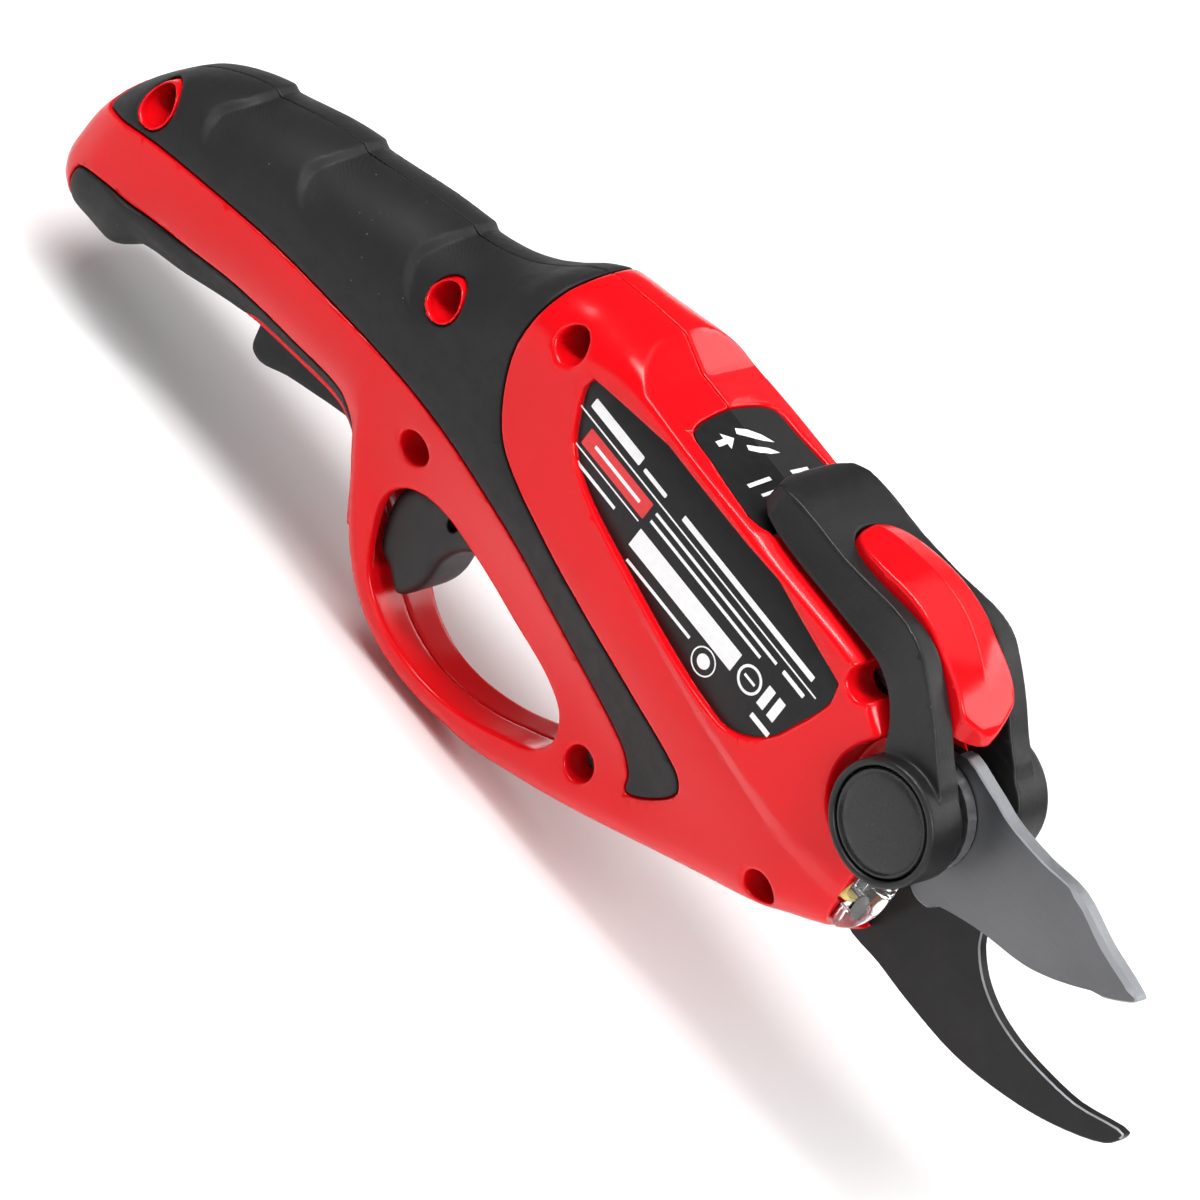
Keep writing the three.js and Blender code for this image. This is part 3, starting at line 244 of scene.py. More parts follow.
def smooth_loop(points, steps=6):
    """Points round a closed smooth curve through the given ones."""
    p = np.array(points, float)
    before, start, end, after = (np.roll(p, shift, 0) for shift in (1, 0, -1, -2))
    spans = [
        np.sqrt(np.linalg.norm(b - a, axis=1, keepdims=True))
        for a, b in ((before, start), (start, end), (end, after))
    ]
    d0, d1, d2 = spans
    leave = (start - before) / d0 - (end - before) / (d0 + d1) + (end - start) / d1
    arrive = (end - start) / d1 - (after - start) / (d1 + d2) + (after - end) / d2
    leave, arrive = leave * d1, arrive * d1
    rows = []
    for step in range(steps):
        t = step / steps
        rows.append(
            (2 * t**3 - 3 * t**2 + 1) * start
            + (t**3 - 2 * t**2 + t) * leave
            + (3 * t**2 - 2 * t**3) * end
            + (t**3 - t**2) * arrive
        )
    return np.stack(rows, 1).reshape(-1, 2)


def smoothstep(low, high, value):
    t = np.clip((value - low) / (high - low), 0, 1)
    return t * t * (3 - 2 * t)


def smooth_max(a, b, reach):
    """The larger of two fields, with the edge between them rounded over about a reach."""
    near = np.maximum(reach - np.abs(a - b), 0)
    return np.maximum(a, b) + near * near / (4 * reach)


def less(field, cutter, reach=0.5):
    return smooth_max(field, -cutter, reach)


def plus(field, other, reach=0.5):
    return -smooth_max(-field, -other, reach)


def column(rows, index, x):
    """One column of a table of rows at x, joined smoothly without overshoot."""
    knots = np.array([row[0] for row in rows], float)
    values = np.array([row[index] for row in rows], float)
    width = np.diff(knots)
    slope = np.diff(values) / width
    inner = np.where(
        slope[:-1] * slope[1:] > 0,
        2 * slope[:-1] * slope[1:] / np.where(slope[:-1] + slope[1:] == 0, 1, slope[:-1] + slope[1:]),
        0,
    )
    tangent = np.concatenate([slope[:1], inner, slope[-1:]])
    i = np.clip(np.searchsorted(knots, x) - 1, 0, len(width) - 1)
    t = np.clip((x - knots[i]) / width[i], 0, 1)
    return (
        values[i] * (1 + 2 * t) * (1 - t) ** 2
        + values[i + 1] * (3 - 2 * t) * t**2
        + width[i] * (tangent[i] * t * (1 - t) ** 2 - tangent[i + 1] * t**2 * (1 - t))
    )


def outline_distance(u, v, loop):
    """Distance from a closed outline at places u and v, negative inside."""
    loop = np.asarray(loop, np.float32)
    shape = np.broadcast(u, v).shape
    nearest = np.full(shape, 1e9, np.float32)
    inside = np.zeros(shape, bool)
    for a, b in zip(loop, np.roll(loop, -1, 0)):
        e = b - a
        length = float(e @ e)
        if length == 0:
            continue
        t = np.clip(((u - a[0]) * e[0] + (v - a[1]) * e[1]) / length, 0, 1)
        nearest = np.minimum(nearest, (u - a[0] - t * e[0]) ** 2 + (v - a[1] - t * e[1]) ** 2)
        if e[1] != 0:
            inside ^= ((v < a[1]) != (v < b[1])) & (u < a[0] + (v - a[1]) * e[0] / e[1])
    return np.where(inside, -1, 1).astype(np.float32) * np.sqrt(nearest)


class Grid:
    """Block of sample points, with helpers that give signed distances on it."""

    def __init__(self, low, high, step):
        self.low = np.array(low, np.float32)
        self.step = step
        counts = [int(math.ceil((b - a) / step)) + 1 for a, b in zip(low, high)]
        axes = [a + step * np.arange(n, dtype=np.float32) for a, n in zip(self.low, counts)]
        self.x, self.y, self.z = np.meshgrid(*axes, indexing="ij", sparse=True)

    def outline(self, loop, plane="xz"):
        """Distance from a closed outline drawn in one plane, negative inside."""
        u, v = (getattr(self, axis) for axis in plane)
        return outline_distance(u, v, loop)

    def box(self, x=None, y=None, z=None):
        """Distance from a block; a side left out reaches past the grid."""
        field = np.float32(-1e3)
        for span, values in ((x, self.x), (y, self.y), (z, self.z)):
            if span is not None:
                field = np.maximum(field, np.maximum(span[0] - values, values - span[1]))
        return field

    def round_y(self, centre, radius):
        """Distance from a cylinder that runs across the tool."""
        return np.sqrt((self.x - centre[0]) ** 2 + (self.z - centre[1]) ** 2) - radius

    def round_x(self, radius, centre=(0, 0)):
        """Distance from a cylinder that runs along the tool."""
        return np.sqrt((self.y - centre[0]) ** 2 + (self.z - centre[1]) ** 2) - radius


# ------------------------------------------------------------------ meshes


def to_world(points):
    """Millimetres round the pivot to metres in the model's frame."""
    return np.asarray(points, float) * MM + np.array(PIVOT)


def sampled(field, places):
    """Values of a field at places counted in grid steps."""
    places = np.clip(places, 0, np.array(field.shape) - 1.001)
    low = places.astype(np.int32)
    part = (places - low).astype(np.float32)
    total = np.zeros(len(places), np.float32)
    for corner in range(8):
        bits = [(corner >> axis) & 1 for axis in range(3)]
        weight = np.ones(len(places), np.float32)
        for axis, bit in enumerate(bits):
            weight *= part[:, axis] if bit else 1 - part[:, axis]
        i, j, k = (low[:, axis] + bits[axis] for axis in range(3))
        total += weight * field[i, j, k]
    return total


def slopes(field, places, reach=0.75):
    """Unit directions in which a field grows at places counted in grid steps."""
    parts = []
    for axis in range(3):
        shift = np.zeros(3, np.float32)
        shift[axis] = reach
        parts.append(sampled(field, places + shift) - sampled(field, places - shift))
    direction = np.stack(parts, 1)
    return direction / np.maximum(np.linalg.norm(direction, axis=1, keepdims=True), 1e-9)


def new_object(name, points, faces, material, normals=None):
    mesh = bpy.data.meshes.new(name)
    mesh.from_pydata(points.tolist(), [], faces)
    mesh.polygons.foreach_set("use_smooth", np.ones(len(mesh.polygons), bool))
    mesh.materials.append(material)
    mesh.update()
    if normals is not None:
        mesh.normals_split_custom_set_from_vertices(normals.tolist())
    piece = bpy.data.objects.new(name, mesh)
    bpy.context.scene.collection.objects.link(piece)
    return piece


def skin_mesh(grid, field, adaptivity=0.0):
    """Points, faces and normals of the surface where a field is zero."""
    band = 3 * grid.step
    clipped = np.clip(field, -band, band).astype(np.float32)
    volume = openvdb.FloatGrid(band)
    volume.copyFromArray(clipped)
    places, triangles, quads = volume.convertToPolygons(0.0, adaptivity)
    normals = slopes(clipped, places)
    points = places * grid.step + grid.low
    a, b, c = (points[quads[:, corner]] for corner in range(3))
    middle = (a + c) / 2
    toward = slopes(clipped, (middle - grid.low) / grid.step)
    if np.sum(np.cross(b - a, c - a) * toward) < 0:
        quads, triangles = quads[:, ::-1], triangles[:, ::-1]
    return points, [*quads.tolist(), *triangles.tolist()], normals


def carve(name, grid, field, body, material, node, mirror=False, adaptivity=0.0):
    """Makes a piece from a field, rides it on a body and lets it stand for a CAD node."""
    points, faces, normals = skin_mesh(grid, field, adaptivity)
    if mirror:
        flip = np.array([1, -1, 1])
        points, normals = points * flip, normals * flip
        faces = [face[::-1] for face in faces]
    piece = new_object(name, to_world(points), faces, material, normals)
    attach(piece, body)
    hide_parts(node)
    return piece


# ------------------------------------------------------------------ materials


class Nodes:
    """Short way to build a node material."""

    def __init__(self, name):
        self.material = bpy.data.materials.new(name)
        self.material.use_nodes = True
        self.tree = self.material.node_tree
        self.shader = self.tree.nodes["Principled BSDF"]
        self.place = self.add("ShaderNodeTexCoord").outputs["Object"]

    def put(self, value, socket):
        """Links an output to a socket, or sets the socket's plain number."""
        if isinstance(value, bpy.types.NodeSocket):
            self.tree.links.new(value, socket)
        else:
            socket.default_value = value

    def add(self, kind, **values):
        """New node: each value goes to the setting, or else to the socket, of that name."""
        node = self.tree.nodes.new(kind)
        for key, value in values.items():
            if hasattr(node, key):
                setattr(node, key, value)
            else:
                self.put(value, node.inputs[key.replace("_", " ")])
        return node

    def noise(self, scale, detail=4.0, roughness=0.55, stretch=None):
        place = self.place
        if stretch:
            place = self.add("ShaderNodeMapping", Scale=stretch, Vector=place).outputs["Vector"]
        node = self.add("ShaderNodeTexNoise", Scale=scale, Detail=detail, Roughness=roughness, Vector=place)
        return node.outputs["Fac"]

    def cells(self, scale):
        return self.add("ShaderNodeTexVoronoi", Scale=scale, Vector=self.place).outputs["Distance"]

    def ramp(self, source, stops):
        node = self.add("ShaderNodeValToRGB", Fac=source)
        for element, (place, colour) in zip(node.color_ramp.elements, stops):
            element.position = place
            element.color = (*colour, 1)
        return node.outputs["Color"]

    def span(self, source, low, high, out_low, out_high):
        node = self.add("ShaderNodeMapRange", Value=source, From_Min=low, From_Max=high,
                        To_Min=out_low, To_Max=out_high)
        return node.outputs["Result"]

    def maths(self, operation, a, b):
        node = self.add("ShaderNodeMath", operation=operation)
        self.put(a, node.inputs[0])
        self.put(b, node.inputs[1])
        return node.outputs["Value"]

    def blend(self, kind, factor, a, b):
        node = self.add("ShaderNodeMix", data_type="RGBA", blend_type=kind, Factor=factor, A=a, B=b)
        return node.outputs["Result"]

    def finish(self, base, rough, relief=None, **values):
        """Feeds the shader with outputs and plain numbers, and gives the material."""
        values.update(Base_Color=base, Roughness=rough)
        if relief:
            height, strength, distance = relief
            bump = self.add("ShaderNodeBump", Height=height, Strength=strength, Distance=distance)
            values["Normal"] = bump.outputs["Normal"]
        for key, value in values.items():
            self.put(value, self.shader.inputs[key.replace("_", " ")])
        return self.material


def layered(name, tone, stops, gloss, span, grain, depth, **values):
    """Material from three noises: for its colour, its roughness and its fine relief."""
    n = Nodes(name)
    base = n.ramp(n.noise(*tone), stops)
    rough = n.span(n.noise(*gloss), *span)
    return n.finish(base, rough, (n.noise(*grain), *depth), **values)


def gloss_red():
    n = Nodes("gloss_red_plastic")
    broad = n.noise(14, 3)
    fine = n.noise(900, 2)
    base = n.ramp(broad, [(0.3, (0.66, 0.0020, 0.0055)), (0.7, (0.74, 0.0035, 0.0075))])
    rough = n.span(n.noise(160, 6, 0.7), 0.3, 0.75, 0.16, 0.24)
    height = n.maths("ADD", n.maths("MULTIPLY", fine, 0.35), broad)
    return n.finish(base, rough, (height, 0.12, 0.00008), Specular_IOR_Level=0.26)


def soft_rubber():
    """Fine-grained rubber with a few pale specks of dust."""
    n = Nodes("soft_black_rubber")
    base = n.ramp(n.noise(22, 4), [(0.3, (0.0085, 0.0085, 0.009)), (0.7, (0.0125, 0.0125, 0.013))])
    mote = n.ramp(n.cells(330), [(0.0, (0.20, 0.20, 0.20)), (0.06, (0.0, 0.0, 0.0))])
    sparse = n.ramp(n.noise(60, 1), [(0.54, (0, 0, 0)), (0.64, (1, 1, 1))])
    base = n.blend("ADD", 1, base, n.blend("MULTIPLY", 1, mote, sparse))
    rough = n.span(n.noise(300, 5, 0.7), 0.3, 0.7, 0.52, 0.66)
    height = n.maths("ADD", n.noise(2600, 2, 0.6), n.maths("MULTIPLY", n.noise(700, 3), 0.6))
    return n.finish(base, rough, (height, 0.32, 0.00006), Specular_IOR_Level=0.3)


def grained_black():
    """Grained hard plastic with pale scuffs."""
    n = Nodes("grained_black_plastic")
    plain = n.ramp(n.noise(40, 5, 0.6), [(0.3, (0.007, 0.007, 0.0075)), (0.72, (0.0125, 0.0125, 0.013))])
    scuff = n.ramp(n.noise(420, 6, 0.8), [(0.66, (0, 0, 0)), (0.80, (0.22, 0.22, 0.22))])
    rough = n.span(n.noise(220, 6, 0.7), 0.3, 0.7, 0.36, 0.5)
    height = n.maths("ADD", n.cells(1500), n.noise(1800, 3, 0.7))
    return n.finish(n.blend("ADD", 0.5, plain, scuff), rough, (height, 0.28, 0.00007),
                    Specular_IOR_Level=0.34)


def smooth_black(name, low, high):
    return layered(name, (60, 4), [(0.3, (0.007, 0.007, 0.0075)), (0.7, (0.012, 0.012, 0.0125))],
                   (350, 6, 0.75), (0.3, 0.7, low, high), (900, 4, 0.65), (0.12, 0.00006),
                   Specular_IOR_Level=0.4)


def ground_steel(name, dark, light, rough_low):
    n = Nodes(name)
    lines = n.noise(6, 8, 0.75, (30, 400, 900))
    mix = n.maths("ADD", n.maths("MULTIPLY", lines, 0.6), n.maths("MULTIPLY", n.noise(30, 4), 0.4))
    base = n.ramp(mix, [(0.35, dark), (0.65, light)])
    rough = n.span(lines, 0.3, 0.7, rough_low, 0.55)
    return n.finish(base, rough, (lines, 0.12, 0.00004), Metallic=1.0)


def plain_metal(name, dark, light, rough=0.35):
    return layered(name, (240, 5, 0.7), [(0.3, dark), (0.7, light)], (700, 5),
                   (0.3, 0.7, rough - 0.07, rough + 0.08), (1500, 3), (0.1, 0.00003), Metallic=1.0)


def print_ink(name, low, high):
    return layered(name, (700, 5, 0.7), [(0.3, low), (0.6, high)], (900, 4), (0.3, 0.7, 0.34, 0.46),
                   (1600, 2), (0.05, 0.00003))


def clear_plastic():
    n = Nodes("clear_moulded_plastic")
    rough = n.span(n.noise(500, 3), 0.3, 0.7, 0.02, 0.06)
    return n.finish((0.96, 0.97, 0.98, 1), rough, (n.noise(260, 3), 0.1, 0.00008),
                    Transmission_Weight=1.0, IOR=1.49)


def board_green():
    n = Nodes("circuit_board")
    return n.finish(n.ramp(n.cells(900), [(0.2, (0.01, 0.10, 0.04)), (0.5, (0.02, 0.16, 0.07))]), 0.4)


def cell_blue():
    n = Nodes("cell_wrap")
    return n.finish(n.ramp(n.noise(90, 4), [(0.3, (0.02, 0.12, 0.35)), (0.7, (0.03, 0.17, 0.42))]), 0.35)


def pale_floor():
    n = Nodes("pale_floor")
    noise = n.add("ShaderNodeTexNoise", Scale=3).outputs["Fac"]
    base = n.ramp(noise, [(0, (0.80, 0.80, 0.80)), (1, (0.84, 0.84, 0.84))])
    return n.finish(base, 0.9, Specular_IOR_Level=0.1)


RED = gloss_red()
RUBBER = soft_rubber()
GRAIN = grained_black()
CAP = smooth_black("smooth_black_plastic", 0.2, 0.4)
TRIGGER_BLACK = smooth_black("trigger_black_plastic", 0.42, 0.55)
STEEL = plain_metal("plain_steel", (0.42, 0.42, 0.43), (0.55, 0.55, 0.56))
SCREW_STEEL = plain_metal("blackened_screw_steel", (0.06, 0.06, 0.065), (0.12, 0.12, 0.12), 0.4)
BLADE_FACE = ground_steel("blade_satin_steel", (0.115, 0.117, 0.123), (0.165, 0.167, 0.173), 0.42)
BLADE_GROUND = ground_steel("blade_ground_steel", (0.30, 0.31, 0.33), (0.42, 0.43, 0.45), 0.45)
BRASS = plain_metal("brass", (0.50, 0.36, 0.14), (0.62, 0.46, 0.2), 0.3)
COATED = layered(
    "black_blade_coating", (50, 6, 0.7), [(0.3, (0.010, 0.0095, 0.0095)), (0.72, (0.017, 0.016, 0.016))],
    (1400, 3, 0.8), (0.3, 0.75, 0.34, 0.5), (1400, 3, 0.8), (0.16, 0.00005), Specular_IOR_Level=0.2,
)
FILM = layered(
    "label_film", (400, 4), [(0.3, (0.008, 0.008, 0.0085)), (0.7, (0.011, 0.011, 0.0115))],
    (900, 4), (0.3, 0.7, 0.3, 0.4), (1300, 3), (0.07, 0.00004), Specular_IOR_Level=0.2,
)
WHITE_INK = print_ink("white_print", (0.82, 0.82, 0.83), (0.88, 0.88, 0.88))
RED_INK = print_ink("red_print", (0.62, 0.012, 0.016), (0.74, 0.02, 0.025))
CLEAR = clear_plastic()
BOARD = board_green()
CELL_WRAP = cell_blue()
LAMP = print_ink("lamp_body", (0.75, 0.62, 0.15), (0.85, 0.72, 0.25))

# ------------------------------------------------------------------ the tool's outer form


def crease(x, z):
    """How far the side steps in below the line that runs to the nose."""
    upper = np.interp(x, [row[0] for row in CREASE], [row[1] for row in CREASE])
    lower = np.interp(x, [row[0] for row in CREASE], [row[2] for row in CREASE])
    depth = CREASE_DEPTH * smoothstep(CREASE[0][0], -20, x)
    return depth * np.clip((upper - z) / (upper - lower), 0, 1)


def platform(x, y):
    """Height of the shallow roof in front of the barrel, with its ramps."""
    ramp = PLATFORM["slope"] * np.clip(PLATFORM["rear"] - x, 0, None)
    front = PLATFORM["rise"] * smoothstep(*PLATFORM["front"], x)
    return PLATFORM["height"] - PLATFORM["fall"] * np.abs(y) + ramp + front


def hull(grid):
    """Distance from the tool's outer form."""
    columns = [column(HULL_ROWS, index, grid.x) for index in range(1, 7)]
    top, bottom, above, below, top_round, bottom_round = columns
    limit = 0.46 * (top - bottom)
    upper_end = top - np.minimum(top_round, limit)
    lower_end = bottom + np.minimum(bottom_round, limit)
    over = (grid.z - upper_end) / (top - upper_end)
    under = (lower_end - grid.z) / (lower_end - bottom)
    rise = np.maximum(np.maximum(over, under), 0)
    side = below + (above - below) * smoothstep(*HULL_TAPER, grid.z) - crease(grid.x, grid.z)
    start, full, last, end = FLARE["x"]
    along = smoothstep(start, full, grid.x) * (1 - smoothstep(last, end, grid.x))
    side = side + FLARE["reach"] * along * smoothstep(*FLARE["z"], grid.z)
    power = np.abs(grid.y / side) ** FULLNESS + rise**FULLNESS
    level = (power ** (1 / FULLNESS) - 1).astype(np.float32)
    slope = np.sqrt(sum(part**2 for part in np.gradient(level, grid.step)))
    field = level / np.maximum(slope, 0.02)
    field = smooth_max(field, HULL_ROWS[0][0] - grid.x, 2.5)
    field = smooth_max(field, grid.x - HULL_ROWS[-1][0], 2.5)
    return smooth_max(field, grid.z - platform(grid.x, grid.y), 0.35).astype(np.float32)


def grip_steps(grid):
    """How far the grip's face drops in front of each of its steps."""
    depth = 0
    for curve in GRIP_STEPS:
        rows = sorted((z, x) for x, z in curve)
        low, high = rows[0][0], rows[-1][0]
        ahead = grid.x - column(rows, 1, np.clip(grid.z, low, high))
        riser = np.clip(ahead / 2, 0, 1) * (1 - smoothstep(2, 19, ahead))
        depth = depth + GRIP_STEP_DEPTH * riser * smoothstep(low, low + 7, grid.z)
        nick = smoothstep(-0.5, 0.6, ahead) * (1 - smoothstep(0.6, 4, ahead))
        depth = depth + 0.1 * nick * np.clip(1 - np.abs(grid.y) / 2, 0, 1)
    return depth


def within(form, outline, spread, depth):
    """A layer under the outer form, within a side outline that is spread outwards."""
    return np.maximum(outline - spread, -(form + depth))


def lower_bulge(grid):
    """The rear part of the lower grip stands proud underneath, up to a step."""
    along = 1 - smoothstep(-174.5, -170.5, grid.x)
    return 1.2 * along * (1 - smoothstep(-52, -46, grid.z)) * smoothstep(-214, -203, grid.x)


def lever_border(grid, rim):
    half = LEVER_SLOT["half"] + rim
    return grid.box(x=(LEVER_SLOT["x"][0] - 2 - rim, -130), y=(-half, half), z=(-90, -20))


def cell_seat(grid):
    (x0, z0), (x1, z1) = CELL["from"], CELL["to"]
    length = math.hypot(x1 - x0, z1 - z0)
    along = ((grid.x - x0) * (x1 - x0) + (grid.z - z0) * (z1 - z0)) / length
    off = ((grid.x - x0) * (z1 - z0) - (grid.z - z0) * (x1 - x0)) / length
    radial = np.sqrt(off**2 + grid.y**2) - CELL["radius"]
    return np.maximum(radial, np.maximum(-along, along - length))


def inner_space(grid, form):
    """Hollow of the housing: ribs and screw bosses cross it, and seats hold what is inside."""
    field = np.maximum(form + WALL, -grid.outline(HOLLOW_FLOOR))
    for x in RIBS:
        field = np.maximum(field, -grid.box(x=(x, x + 2)))
    for spot in SCREWS:
        field = np.maximum(field, -grid.round_y(spot, SCREW_RECESS + 1.6))
    seats = [
        cell_seat(grid),
        np.maximum(grid.round_x(12.3), grid.box(x=(-93, -55))),
        np.maximum(grid.round_x(13.3), grid.box(x=(-55, -33.5))),
        np.maximum(grid.round_x(3), grid.box(x=(-97, -60))),
        grid.box(x=(-34.5, -14), y=(-7.3, 7.3), z=(-30.5, 14)),
        grid.box(x=(-14.5, 20), y=(-7.3, 7.3), z=(-31, 25)),
    ]
    for seat in seats:
        field = np.minimum(field, seat)
    return field


def pin_bore(grid, place, radius, half):
    return np.maximum(grid.round_y(place, radius), np.abs(grid.y) - half)


def less_screws(grid, field, right):
    """A half of the housing less its recesses and bores on the right, or blind holes on the left."""
    for spot, seat in zip(SCREWS, SCREW_SEATS):
        if right:
            opening = np.maximum(grid.round_y(spot, SCREW_RECESS), grid.y + seat)
            field = less(field, opening, 1.1)
            field = less(field, grid.round_y(spot, 1.9), 0.2)
        else:
            blind = np.maximum(grid.round_y(spot, 1.8), -grid.y - 6.5)
            field = less(field, blind, 0.2)
    return field


def housing_field(grid, form, cover, lower, right):
    """One half of the housing, drawn on the right side."""
    skin = within(form, cover, EDGE, SKIN + GAP)
    if right:
        rims = np.minimum(*(grid.round_y(spot, SCREW_RECESS + COLLAR) for spot in SCREWS[:2]))
        proud = np.maximum(rims, form - 0.35)
        skin = np.maximum(skin, -rims)
    lower_skin = np.maximum(within(form, lower, EDGE, SKIN + GAP), -lever_border(grid, LEVER_RIM))
    field = less(form, skin, 0.5)
    if right:
        field = np.minimum(field, proud)
    field = less(field, lower_skin, 0.5)
    lip = smooth_max(form - 1.0, lever_border(grid, LEVER_RIM), 0.5)
    field = np.minimum(field, np.maximum(lip, grid.z + 38))
    label = np.maximum(grid.outline(smooth_loop(SIDE_LABEL, 3)) - 0.35, grid.y + SIDE_LABEL_FACE - 0.3)
    field = less(field, label, 0.7)
    top = grid.outline(smooth_loop(TOP_LABEL, 3), "xy") - 0.35
    field = less(field, np.maximum(top, platform(grid.x, grid.y) - 1.3 - grid.z), 0.6)
    field = less(field, grid.outline(smooth_loop(WINDOW, 6)), 1.2)
    slot = grid.box(x=LEVER_SLOT["x"], y=(-LEVER_SLOT["half"], LEVER_SLOT["half"]),
                    z=(-90, LEVER_SLOT["top"]))
    field = less(field, slot, 0.6)
    field = less(field, np.maximum(grid.outline(TRIGGER_POCKET), -grid.y - TRIGGER_HALF - 0.5), 0.4)
    field = less(field, inner_space(grid, form), 0.3)
    pocket = np.maximum(grid.round_y((0, 0), NOSE_POCKET), grid.y + NOSE_HALF)
    field = less(field, pocket, 1.0)
    jack = np.maximum(grid.round_x(4.3, (0, -52)), grid.x + 208)
    field = less(field, jack, 0.8)
    field = less(field, pin_bore(grid, (0, 0), BOLT_BORE, 40), 0.3)
    field = less(field, pin_bore(grid, TRIGGER_PIVOT, TRIGGER_BORE, 10.3), 0.3)
    field = less(field, pin_bore(grid, LEVER_PIVOT, LEVER_BORE, 8.6), 0.3)
    field = less_screws(grid, field, right)
    if right:
        lens = grid.box(x=(-0.5, 20), y=(-30, -3.0), z=(-40, -14.5))
        field = less(field, lens, 0.3)
        field = less(field, np.maximum(grid.round_x(LAMP_BORE, LAMP_PLACE), -6 - grid.x), 0.3)
    else:
        blade = grid.box(x=(-7, 20), y=(-3.8, -0.7), z=(-60, -20))
        field = less(field, blade, 0.3)
    return smooth_max(field, grid.y + SPLIT, 0.35)


def soft_layer(form, outside, outline):
    """Soft grip between its own outside and the skin under it, within a side outline."""
    return np.maximum(smooth_max(outside, outline + EDGE, 0.7), -(form + SKIN + 0.05))


def make_shells():
    """Housing halves and the soft grips over them."""
    low, high = (HULL_ROWS[0][0] - 1.2, -19.2, -82), (8, 0.8, 26)
    grid = Grid(low, high, 0.4)
    form = hull(grid)
    cover = grid.outline(smooth_loop(GRIP_COVER, 3))
    lower = grid.outline(smooth_loop(LOWER_GRIP, 3))
    for side, right in (("right", True), ("left", False)):
        field = housing_field(grid, form, cover, lower, right)
        shell = carve(f"housing_shell_{side}", grid, field, "body", RED, f"housing_{side}", not right,
                      0.03)
    stepped = form + grip_steps(grid)
    for side, right in (("right", True), ("left", False)):
        field = soft_layer(form, stepped, cover)
        field = smooth_max(field, grid.y + 0.04, 0.3)
        if right:
            holes = np.minimum(*(grid.round_y(spot, SCREW_RECESS + 0.9) for spot in SCREWS[:2]))
            field = less(field, holes, 0.5)
        grip = carve(f"grip_skin_{side}", grid, field, "body", RUBBER, f"grip_cover_{side}", not right,
                     0.02)
        field = soft_layer(form, form - lower_bulge(grid), lower)
        field = less(field, lever_border(grid, LEVER_RIM + GAP), 0.3)
        field = smooth_max(field, grid.y + SPLIT, 0.6)
        grip = carve(f"lower_grip_skin_{side}", grid, field, "body", RUBBER, f"lower_grip_{side}",
                     not right, 0.02)
    lens_grid = Grid((-1.5, -13, -37), (8.5, -2.4, -13), 0.25)
    lens_form = hull(lens_grid)
    window = lens_grid.box(x=(-0.2, 20), y=(-30, -3.7), z=(-40, -14.8))
    field = smooth_max(lens_form - 0.2, window, 2.2)
    seat = np.maximum(lens_grid.round_x(LAMP_BORE, LAMP_PLACE), lens_grid.x - 2.4)
    field = less(field, seat, 0.3)
    lens = carve("lamp_window", lens_grid, field, "body", CLEAR, "lamp_lens")


# ------------------------------------------------------------------ yoke, slider, trigger, lever


def make_yoke():
    grid = Grid((-66, -19.5, -15), (16, 19.5, 33.5), 0.33)
    across = np.abs(grid.y)
    side = grid.outline(smooth_loop(YOKE_SIDE, 3))
    rising = np.clip((grid.z - YOKE_LEAN["foot"]) / YOKE_LEAN["height"], 0, 1)
    lean = YOKE_LEAN["share"] * rising * (1 - smoothstep(*YOKE_LEAN["end"], grid.x))
    plan = outline_distance(grid.x, grid.y * (1 + lean), YOKE_PLAN)
    field = smooth_max(side, plan, 0.4)
    slot = grid.outline(inset(ccw(smooth_loop(SLIDER_PLAN, 3)), -0.45), "xy")
    slot = np.minimum(slot, np.maximum(across - SLOT_HALF, -20 - grid.x))
    field = less(field, slot, 0.5)
    rail = np.maximum(grid.box(x=(-44, -18), z=(26, 28.4)), across - SLOT_HALF - 1.4)
    field = less(field, rail, 0.2)
    radial = grid.round_y((0, 0), 0)
    ring = smooth_max(radial - RING_RADIUS, across - RING_FACE, 1.1)
    ring = smooth_max(ring, RING_BACK - across, 0.6)
    field = plus(field, ring, 0.6)
    bore = np.maximum(radial - CAP_RADIUS - GAP, 12.3 - across)
    field = less(field, bore, 0.9)
    field = less(field, radial - BOLT_BORE, 0.3)
    yoke = carve("yoke_frame", grid, field, "yoke", GRAIN, "yoke_lever", adaptivity=0.01)


def make_slider():
    grid = Grid((-49, -10.6, 15.5), (3, 10.6, 37), 0.25)
    across = np.abs(grid.y)
    raised = grid.z + SLIDER_DROP * across / NOSE_HALF * smoothstep(26, 31, grid.z)
    side = outline_distance(grid.x, raised, smooth_loop(SLIDER_SIDE, 3))
    field = smooth_max(side, grid.outline(smooth_loop(SLIDER_PLAN, 3), "xy"), 0.8)
    rail = np.maximum(grid.box(x=(-43, -24), z=(26.3, 28.1)), across - SLOT_HALF - 1.1)
    field = np.minimum(field, rail)
    slider = carve("slider_block", grid, field, "slider", RED, "release_slider", adaptivity=0.01)


def make_trigger():
    grid = Grid((-127, -8.5, -68), (-103, 8.5, -35), 0.25)
    across = np.abs(grid.y)
    side = grid.outline(smooth_loop(TRIGGER_SIDE, 4))
    field = smooth_max(side, across - TRIGGER_HALF, 3)
    field = less(field, grid.round_y(TRIGGER_PIVOT, TRIGGER_BORE), 0.3)
    dimple = np.maximum(grid.round_y((-112.7, -44), 1.4), 5 - across)
    field = less(field, dimple, 0.3)
    trigger = carve("trigger_blade", grid, field, "trigger", TRIGGER_BLACK, "trigger", adaptivity=0.01)


